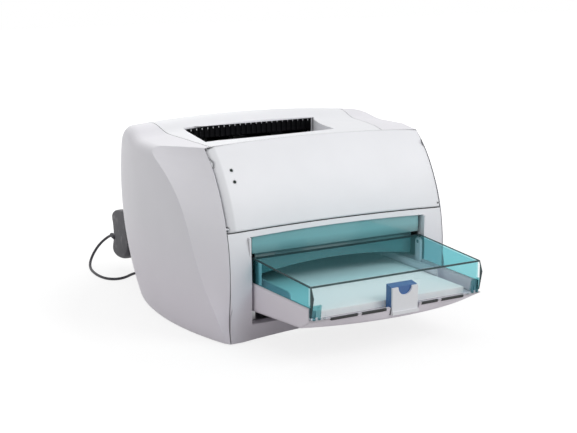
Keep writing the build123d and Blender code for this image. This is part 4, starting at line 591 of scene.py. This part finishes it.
def smoothCopy(name, nodeName, reshape=None):
    # the CAD node's own surface, its loose triangles joined and its curved faces shaded smooth
    mesh = nodes[nodeName].data.copy()
    mesh.name = name
    work = bmesh.new()
    work.from_mesh(mesh)
    bmesh.ops.remove_doubles(work, verts=work.verts, dist=smoothShell["weld"])
    bmesh.ops.dissolve_degenerate(work, edges=work.edges, dist=smoothShell["weld"] / 2)
    if reshape:
        reshape(work)
        bmesh.ops.dissolve_degenerate(work, edges=work.edges, dist=smoothShell["weld"] / 2)
    limit = math.radians(smoothShell["crease"])
    for face in work.faces:
        face.smooth = True
    for edge in work.edges:
        edge.smooth = len(edge.link_faces) == 2 and edge.calc_face_angle(0.0) < limit
    work.to_mesh(mesh)
    work.free()
    piece = bpy.data.objects.new(name, mesh)
    bpy.context.scene.collection.objects.link(piece)
    weight = piece.modifiers.new("evenShading", "WEIGHTED_NORMAL")
    weight.keep_sharp = True
    weight.weight = smoothShell["weight"]
    return register(piece, bodyOf[nodeName], slotOf[nodeName], nodeName)


smoothNodes = [
    "left_side_cover",
    "right_side_cover",
    "top_cover",
    "cartridge_door",
    "front_panel",
    "rear_cover",
    "rear_door",
    "tray_base",
    "tray_lid",
    "far_connector",
    "feed_slot_panel",
    "length_guide",
    "guide_block",
]
reshapes = {"cartridge_door": rollEdges}
for nodeName in smoothNodes:
    words = nodeName.split("_")
    skinName = words[0] + "".join(w.title() for w in words[1:]) + "Skin"
    smoothCopy(skinName, nodeName, reshape=reshapes.get(nodeName))
print("smooth covers", len(smoothNodes))


paperLook = {
    "layers": 44,
    "inset": 0.0005,
    "shift": 0.00022,  # how far the sheets' edges stray from one another
    "shiftShare": 0.8,
    "waves": ((2.3, 0.0, 1.0), (5.1, 1.0, 0.6)),  # rate, start and share of each sine
    "alongEdge": 24,
    "cornerLift": 0.0012,
    "cornerBend": 6,
    "topRings": (0.97, 0.85, 0.6, 0.3),  # the top sheet's rings, drawn in towards the middle
    "topBend": 8,
}


def makePaper():
    # the stack as a ring of edge points on each level: level k strays by
    # shift * (the sum of share * sin(rate * k + start)), and the front left corner lifts by
    # cornerLift * (x share * y share)^cornerBend
    look = paperLook
    (x0, y0, z0), (x1, y1, z1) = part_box("paper_stack")
    centre = np.array([(x0 + x1) / 2, (y0 + y1) / 2])
    half = np.array([(x1 - x0) / 2, (y1 - y0) / 2])
    side = np.linspace(-1, 1, look["alongEdge"], endpoint=False)
    one = np.ones_like(side)
    ring = np.concatenate(
        [
            np.stack([side, -one], 1),
            np.stack([one, side], 1),
            np.stack([-side, one], 1),
            np.stack([-one, -side], 1),
        ]
    )
    level = np.arange(look["layers"])
    stray = look["shift"] * sum(
        part * np.sin(rate * level + start) for rate, start, part in look["waves"]
    )
    reach = half[None, :] - look["inset"] + stray[:, None] * look["shiftShare"]
    flat = centre + ring[None, :, :] * reach[:, None, :]
    share = level / (look["layers"] - 1)
    corner = (np.clip(-ring[:, 1], 0, 1) * np.clip(-ring[:, 0], 0, 1)) ** look["cornerBend"]
    height = z0 + share[:, None] * (z1 - z0 - look["cornerLift"] + look["cornerLift"] * corner)
    walls = np.concatenate([flat, height[:, :, None]], -1)
    inward = np.array(look["topRings"])
    top = walls[-1][None, :, :].repeat(len(inward), 0)
    top[:, :, :2] = centre + (top[:, :, :2] - centre) * inward[:, None, None]
    top[:, :, 2] = z1 - look["cornerLift"] * (1 - corner * inward[:, None] ** look["topBend"])
    points = np.concatenate([walls, top]).reshape(-1, 3)
    count = len(ring)
    rows = look["layers"] + len(inward)
    faces = ringFaces(rows, count)[:, ::-1].tolist()
    faces += [ringLid(0, count)[::-1], ringLid(rows - 1, count)]
    piece = makePiece("paperSheets", points, faces, "paper", smooth=False)
    register(piece, "tray", "paper", "paper_stack")


bar = {"sides": 16, "endEase": 1 / 3, "endScale": 0.6}


def sweepBar(path, across, up, width, height, squareness=3.0):
    # the section |2a / width|^n + |2b / height|^n = 1 with n the squareness, carried along a
    # path, and drawn in to endScale a little past both ends; the path runs against the cross
    # product of across and up, so the faces point outwards
    sides = bar["sides"]
    angle = np.linspace(0, 2 * math.pi, sides, endpoint=False)
    cosine, sine = np.cos(angle), np.sin(angle)
    a = np.sign(cosine) * np.abs(cosine) ** (2 / squareness) * width / 2
    b = np.sign(sine) * np.abs(sine) ** (2 / squareness) * height / 2
    section = a[:, None] * np.array(across) + b[:, None] * np.array(up)
    path = np.array(path, float)
    start, finish = path[0] - path[1], path[-1] - path[-2]
    start, finish = start / np.linalg.norm(start), finish / np.linalg.norm(finish)
    ease = min(width, height) * bar["endEase"]
    path = np.concatenate([[path[0] + start * ease], path, [path[-1] + finish * ease]])
    scale = np.ones(len(path))
    scale[[0, -1]] = bar["endScale"]
    points = path[:, None, :] + scale[:, None, None] * section[None, :, :]
    faces = ringFaces(len(path), sides).tolist()
    faces += [ringLid(0, sides), ringLid(len(path) - 1, sides)[::-1]]
    return points.reshape(-1, 3), faces


def joinParts(parts):
    # several grids as one list of points and faces
    offset, points, faces = 0, [], []
    for partPoints, partFaces in parts:
        points.append(partPoints)
        faces += [[index + offset for index in face] for face in partFaces]
        offset += len(partPoints)
    return np.concatenate(points), faces


lengthwise = {"across": (0, -1, 0), "up": (0, 0, 1)}  # bars that run from left to right
# painted shade: a dark strip in the seam over the door and two dark pads in its notches stand in
# for their shade
doorSeamShade = {
    "y": -0.0481,
    "bow": 0.007,
    "z": 0.23945,
    "fall": 0.0037,
    "reach": 0.157,
    "stations": 65,
    "width": 0.0007,
    "height": 0.0012,
    "squareness": 4.0,
    "padPlaces": (-0.142, 0.137),
    "padLength": 0.0032,
    "padWidth": 0.0018,
}


def makeDoorSeamShade():
    # painted shade: one thin dark strip in the seam over the door stands in for the seam's shade,
    # and two small dark pads for
    # the shade in its notches: at share s of its reach the strip lies at y + bow (1 - s^2) and z -
    # fall s^2
    look = doorSeamShade
    share = np.linspace(-1, 1, look["stations"])
    y = look["y"] + look["bow"] * (1 - share**2)
    z = look["z"] - look["fall"] * share**2
    path = np.stack([share * look["reach"], y, z], 1)
    section = {"width": look["width"], "height": look["height"]}
    seamShadeBars = [sweepBar(path, **lengthwise, **section, squareness=look["squareness"])]
    half = look["padLength"] / 2
    for x in look["padPlaces"]:
        share = x / look["reach"]
        y = look["y"] + look["bow"] * (1 - share**2)
        z = look["z"] - look["fall"] * share**2
        notchShade = [(x - half, y, z), (x, y, z), (x + half, y, z)]
        seamShadeBars.append(
            sweepBar(notchShade, **lengthwise, width=look["padWidth"], height=look["padWidth"])
        )
    piece = makePiece("doorTopFelt", *joinParts(seamShadeBars), "dark_plastic")
    register(piece, "printer", "dark_plastic")


# painted shade: dark bars in the four slots of the tray's front rim stand in for the shade inside
# them
rimStrips = {
    "slots": [(-0.096, -0.058), (-0.053, -0.018), (0.033, 0.058), (0.063, 0.097)],
    "endGap": 0.0012,
    "y": -0.2390,
    "z": 0.0583,
    "stations": 9,
    "width": 0.0030,
    "height": 0.0030,
    "squareness": 4.0,
}


def makeRimShadeBars():
    # painted shade: one straight dark bar in each of the four slots of the tray's front rim stands
    # in for the shade inside the slot; the bars use the rubber finish
    look = rimStrips
    section = {key: look[key] for key in ("width", "height", "squareness")}
    bars = []
    for left, right in look["slots"]:
        x = np.linspace(left + look["endGap"], right - look["endGap"], look["stations"])
        path = np.stack([x, np.full_like(x, look["y"]), np.full_like(x, look["z"])], 1)
        bars.append(sweepBar(path, **lengthwise, **section))
    register(makePiece("rimStrips", *joinParts(bars), "rubber"), "tray", "rubber")


fingers = {
    "count": 23,
    "left": -0.114,
    "right": 0.069,
    "y": 0.0888,
    "top": 0.2420,
    "crown": 3.6,  # twice the cover's crown radius
    "length": 0.0020,
    "width": 0.0011,
    "depth": 0.00176,
}


def makeFingers():
    # short guide fingers under the rear edge of the bin, where the paper comes out:
    # each hangs from the height top - x^2 / crown
    look = fingers
    bars = []
    for x in np.linspace(look["left"], look["right"], look["count"]):
        top = look["top"] - x * x / look["crown"]
        low = top - look["length"]
        path = [(x, look["y"], top), (x, look["y"], (top + low) / 2), (x, look["y"], low)]
        bars.append(sweepBar(path, (1, 0, 0), (0, 1, 0), look["width"], look["depth"]))
    register(makePiece("exitFingers", *joinParts(bars), "zinc"), "printer", "zinc")


hood = {
    "outline": [
        (0.2440, 0.0970), (0.2600, 0.0990), (0.2830, 0.0950), (0.3000, 0.0925), (0.3100, 0.0860),
        (0.3105, 0.0780), (0.3050, 0.0700), (0.3050, 0.0600), (0.3030, 0.0500), (0.3080, 0.0400),
        (0.3115, 0.0300), (0.3050, 0.0225), (0.2880, 0.0200), (0.2650, 0.0225), (0.2500, 0.0330),
        (0.2440, 0.0480),
    ],
    "left": -0.1465,
    "right": -0.1270,
    "rounding": 0.0050,
    "roundingBend": 4,
    "around": 120,
    "softenings": 14,
    "stations": 13,
}


def makeHood():
    # the outline, its corners softened by averaging neighbours, is stacked from side to side:
    # at share t of half the width it is drawn in by rounding * (1 - (1 - t^roundingBend)^(1/2))
    look = hood
    corners = np.array(look["outline"] + look["outline"][:1])
    run = np.concatenate([[0], np.cumsum(np.linalg.norm(np.diff(corners, axis=0), axis=1))])
    at = np.linspace(0, run[-1], look["around"], endpoint=False)
    outline = np.stack([np.interp(at, run, corners[:, k]) for k in (0, 1)], 1)
    for _ in range(look["softenings"]):
        outline = (np.roll(outline, 1, 0) + 2 * outline + np.roll(outline, -1, 0)) / 4
    along = np.roll(outline, -1, 0) - np.roll(outline, 1, 0)
    inward = np.stack([along[:, 1], -along[:, 0]], 1) / np.linalg.norm(along, axis=1)[:, None]
    t = np.sin(np.linspace(-math.pi / 2, math.pi / 2, look["stations"]))
    draw = look["rounding"] * (1 - np.sqrt(np.clip(1 - t ** look["roundingBend"], 0, 1)))
    x = (look["left"] + look["right"]) / 2 + t * (look["right"] - look["left"]) / 2
    flat = outline[None, :, :] + draw[:, None, None] * inward[None, :, :]
    points = np.concatenate([np.broadcast_to(x[:, None, None], flat.shape[:2] + (1,)), flat], -1)
    rows, count = look["stations"], look["around"]
    faces = ringFaces(rows, count).tolist()
    faces += [ringLid(0, count), ringLid(rows - 1, count)[::-1]]
    piece = makePiece("hoodShell", points.reshape(-1, 3), faces, "cable_grey")
    register(piece, "printer", "cable_grey", "connector_hood")


cable = {
    "diameter": 0.004,
    "exit": (-0.144, 0.300, 0.050),
    "length": 1.354,
    "coilRadius": 0.028,
    "coilPitch": 0.0045,
    "coilLift": 0.0031,
    "inwardTurns": 7,  # half turns, each a little smaller
    "outwardTurns": 6,
    "pointsPerHalfTurn": 8,
    "tail": 0.040,
    "tailPlaces": (0.12, 0.55, 1.0),
    "roundness": 5,
    "smoothness": 6,
    "order": 3,
}
runPoints = [  # from the hood down to the table, behind the left cover and up to the coil
    cable["exit"],
    (-0.144, 0.315, 0.050),
    (-0.148, 0.328, 0.043),
    (-0.157, 0.336, 0.032),
    (-0.167, 0.336, 0.019),
    (-0.1755, 0.329, 0.008),
    (-0.181, 0.314, 0.0025),
    (-0.1845, 0.292, 0.002),
    (-0.1855, 0.268, 0.002),
    (-0.1815, 0.247, 0.002),
    (-0.169, 0.236, 0.002),
    (-0.153, 0.240, 0.002),
    (-0.138, 0.253, 0.002),
    (-0.108, 0.264, 0.002),
    (-0.056, 0.262, 0.002),
    (-0.006, 0.265, 0.002),
    (0.024, 0.260, 0.0022),
    (0.041, 0.2665, 0.0028),
    (0.048, 0.281, 0.0031),
    (0.048, 0.296, 0.0031),
]


sleeve = {
    "start": 0.2990,
    "end": 0.3170,
    "base": 0.0046,
    "tip": 0.0026,
    "ribs": 5,
    "ribDepth": 0.0005,
    "stations": 61,
    "around": 32,
}


def makeSleeve():
    # round the cable's exit, at share s of its length the radius is
    # base + (tip - base) s + ribDepth |sin(ribs pi s)|
    look = sleeve
    x, _, z = cable["exit"]
    share = np.linspace(0, 1, look["stations"])
    radius = look["base"] + (look["tip"] - look["base"]) * share
    radius = radius + look["ribDepth"] * np.abs(np.sin(look["ribs"] * math.pi * share))
    radius[-1] = cable["diameter"] / 2
    angle = np.linspace(0, 2 * math.pi, look["around"], endpoint=False)
    y = look["start"] + (look["end"] - look["start"]) * share
    shape = (len(share), len(angle))
    points = np.stack(
        [
            x + radius[:, None] * np.cos(angle),
            np.broadcast_to(y[:, None], shape),
            z + radius[:, None] * np.sin(angle),
        ],
        -1,
    )
    faces = ringFaces(*shape).tolist()
    faces += [ringLid(0, look["around"]), ringLid(look["stations"] - 1, look["around"])[::-1]]
    piece = makePiece("cableSleeve", points.reshape(-1, 3), faces, "cable_grey")
    register(piece, "printer", "cable_grey")


def coilPoints():
    # half circles, each smaller by half the pitch, then out again one layer up; the points lie
    # at the middles of equal steps, 1 / cos(half a step) further out, so the curve keeps its radius
    look = cable
    pitch, lift = look["coilPitch"], look["coilLift"]
    x, radius, side = runPoints[-1][0], look["coilRadius"], -1
    middleY = runPoints[-1][1] + look["diameter"]
    count = look["pointsPerHalfTurn"]
    angles = math.pi * (np.arange(count) + 0.5) / count
    bulge = 1 / math.cos(math.pi / count / 2)
    points = []
    for number in range(look["inwardTurns"] + 1 + look["outwardTurns"]):
        climbing = number == look["inwardTurns"]
        if number > look["inwardTurns"]:
            radius += pitch / 2
        low = lift + pitch * (number > look["inwardTurns"])
        centreX = x + side * radius
        px = centreX - side * radius * np.cos(angles) * bulge
        py = middleY - side * radius * np.sin(angles) * bulge
        pz = low + (pitch * angles / math.pi if climbing else 0 * angles)
        points += np.stack([px, py, pz], 1).tolist()
        x += 2 * side * radius
        if number < look["inwardTurns"]:
            radius -= pitch / 2
        side = -side
    return points, (x, middleY)


def makeCable():
    coil, (endX, endY) = coilPoints()
    top = cable["coilLift"] + cable["coilPitch"]
    tail = [(endX, endY + cable["tail"] * share, top) for share in cable["tailPlaces"]]
    points = runPoints + coil + tail
    curve = bpy.data.curves.new("dataCable", "CURVE")
    curve.dimensions = "3D"
    curve.bevel_depth = cable["diameter"] / 2
    curve.bevel_resolution = cable["roundness"]
    curve.resolution_u = cable["smoothness"]
    curve.use_fill_caps = True
    spline = curve.splines.new("NURBS")
    spline.points.add(len(points) - 1)
    spline.points.foreach_set("co", np.array([(*p, 1.0) for p in points]).ravel())
    spline.order_u = cable["order"]
    spline.use_endpoint_u = True
    curve.materials.append(finishes["cable_grey"])
    piece = bpy.data.objects.new("dataCable", curve)
    bpy.context.scene.collection.objects.link(piece)
    register(piece, "printer", "cable_grey", "cable_run", "cable_coil")
    return piece


makePaper()
makeDoorSeamShade()
makeRimShadeBars()
makeFingers()
makeHood()
makeSleeve()
print("paper, felt, strips, fingers, hood and sleeve")
dataCable = makeCable()
print("cable made")


photoView = {
    "place": (-0.7917, -1.3478, 0.4697),
    "target": (0.0208, 0.0595, 0.1095),
    "lens": 73.9,
    "sensor": 36.0,
    "farthest": 30.0,
}


def aim(thing, place, target):
    thing.location = place
    direction = Vector(target) - Vector(place)
    thing.rotation_euler = direction.to_track_quat("-Z", "Y").to_euler()


def makeCamera():
    data = bpy.data.cameras.new("photoCamera")
    data.lens = photoView["lens"]
    data.sensor_width = photoView["sensor"]
    data.clip_end = photoView["farthest"]
    camera = bpy.data.objects.new("photoCamera", data)
    bpy.context.scene.collection.objects.link(camera)
    aim(camera, photoView["place"], photoView["target"])
    bpy.context.scene.camera = camera


lampTarget = (0.0, 0.0, 0.1)
softBoxes = {
    "keyBox": {"place": (1.3, -1.7, 1.9), "size": 1.6, "power": 31.0},
    "topBox": {"place": (0.0, 0.2, 2.2), "size": 1.8, "power": 9.0},
    "sideBox": {"place": (-2.2, -0.6, 0.9), "size": 1.4, "power": 5.0},
    "backBox": {"place": (0.4, 2.3, 1.2), "size": 1.6, "power": 7.0},
}


def makeLights():
    for name, look in softBoxes.items():
        lamp = bpy.data.lights.new(name, "AREA")
        lamp.shape = "SQUARE"
        lamp.size = look["size"]
        lamp.energy = look["power"]
        holder = bpy.data.objects.new(name, lamp)
        bpy.context.scene.collection.objects.link(holder)
        aim(holder, look["place"], lampTarget)


backdrop = {
    "white": (1.0, 1.0, 1.0, 1.0),
    "ambient": 0.42,  # the light that the room gives the object
    "floorSize": 12.0,
    "floorGrey": (0.62, 0.62, 0.62, 1.0),
    "glow": 1.32,  # what the camera sees of the floor, where 1 is white
    "shadowShare": 0.40,  # how much of the matte floor, with its shadow, shows near the object
    "shadowReach": 0.55,
    "shadowFade": 0.5,
}


def whiteForCamera(finish):
    # 1 for camera, glossy and transmission rays, which see the white backdrop
    camera, glossy, through = (finish.add("ShaderNodeLightPath", out=place) for place in (0, 3, 6))
    return camera.largest(glossy).largest(through)


def makeBackdrop():
    sky = Finish("studio", world=True)
    seen = whiteForCamera(sky)
    strength = seen * (1.0 - backdrop["ambient"]) + backdrop["ambient"]
    glow = sky.add(
        "ShaderNodeBackground", sockets={"Color": backdrop["white"], "Strength": strength}
    )
    bpy.context.scene.world = sky.close(glow)

    floorFinish = Finish("floorPaper")
    matte = floorFinish.add("ShaderNodeBsdfDiffuse", sockets={"Color": backdrop["floorGrey"]})
    glow = floorFinish.add(
        "ShaderNodeEmission", sockets={"Color": backdrop["white"], "Strength": backdrop["glow"]}
    )
    x, y, _ = floorFinish.axes()
    away = (x * x + y * y).power(0.5).above(backdrop["shadowReach"], backdrop["shadowFade"])
    share = 1.0 - (1.0 - away) * backdrop["shadowShare"]
    share = whiteForCamera(floorFinish) * share
    floorFinish.close(floorFinish.blend(share, matte, glow))
    half = backdrop["floorSize"] / 2
    corners = [(-half, -half, 0), (half, -half, 0), (half, half, 0), (-half, half, 0)]
    mesh = bpy.data.meshes.new("floor")
    mesh.from_pydata(corners, [], [(0, 1, 2, 3)])
    mesh.materials.append(floorFinish.material)
    floor = bpy.data.objects.new("floor", mesh)
    bpy.context.scene.collection.objects.link(floor)


makeCamera()
makeLights()
makeBackdrop()
bpy.context.scene.view_settings.view_transform = "Standard"
print("stage made")
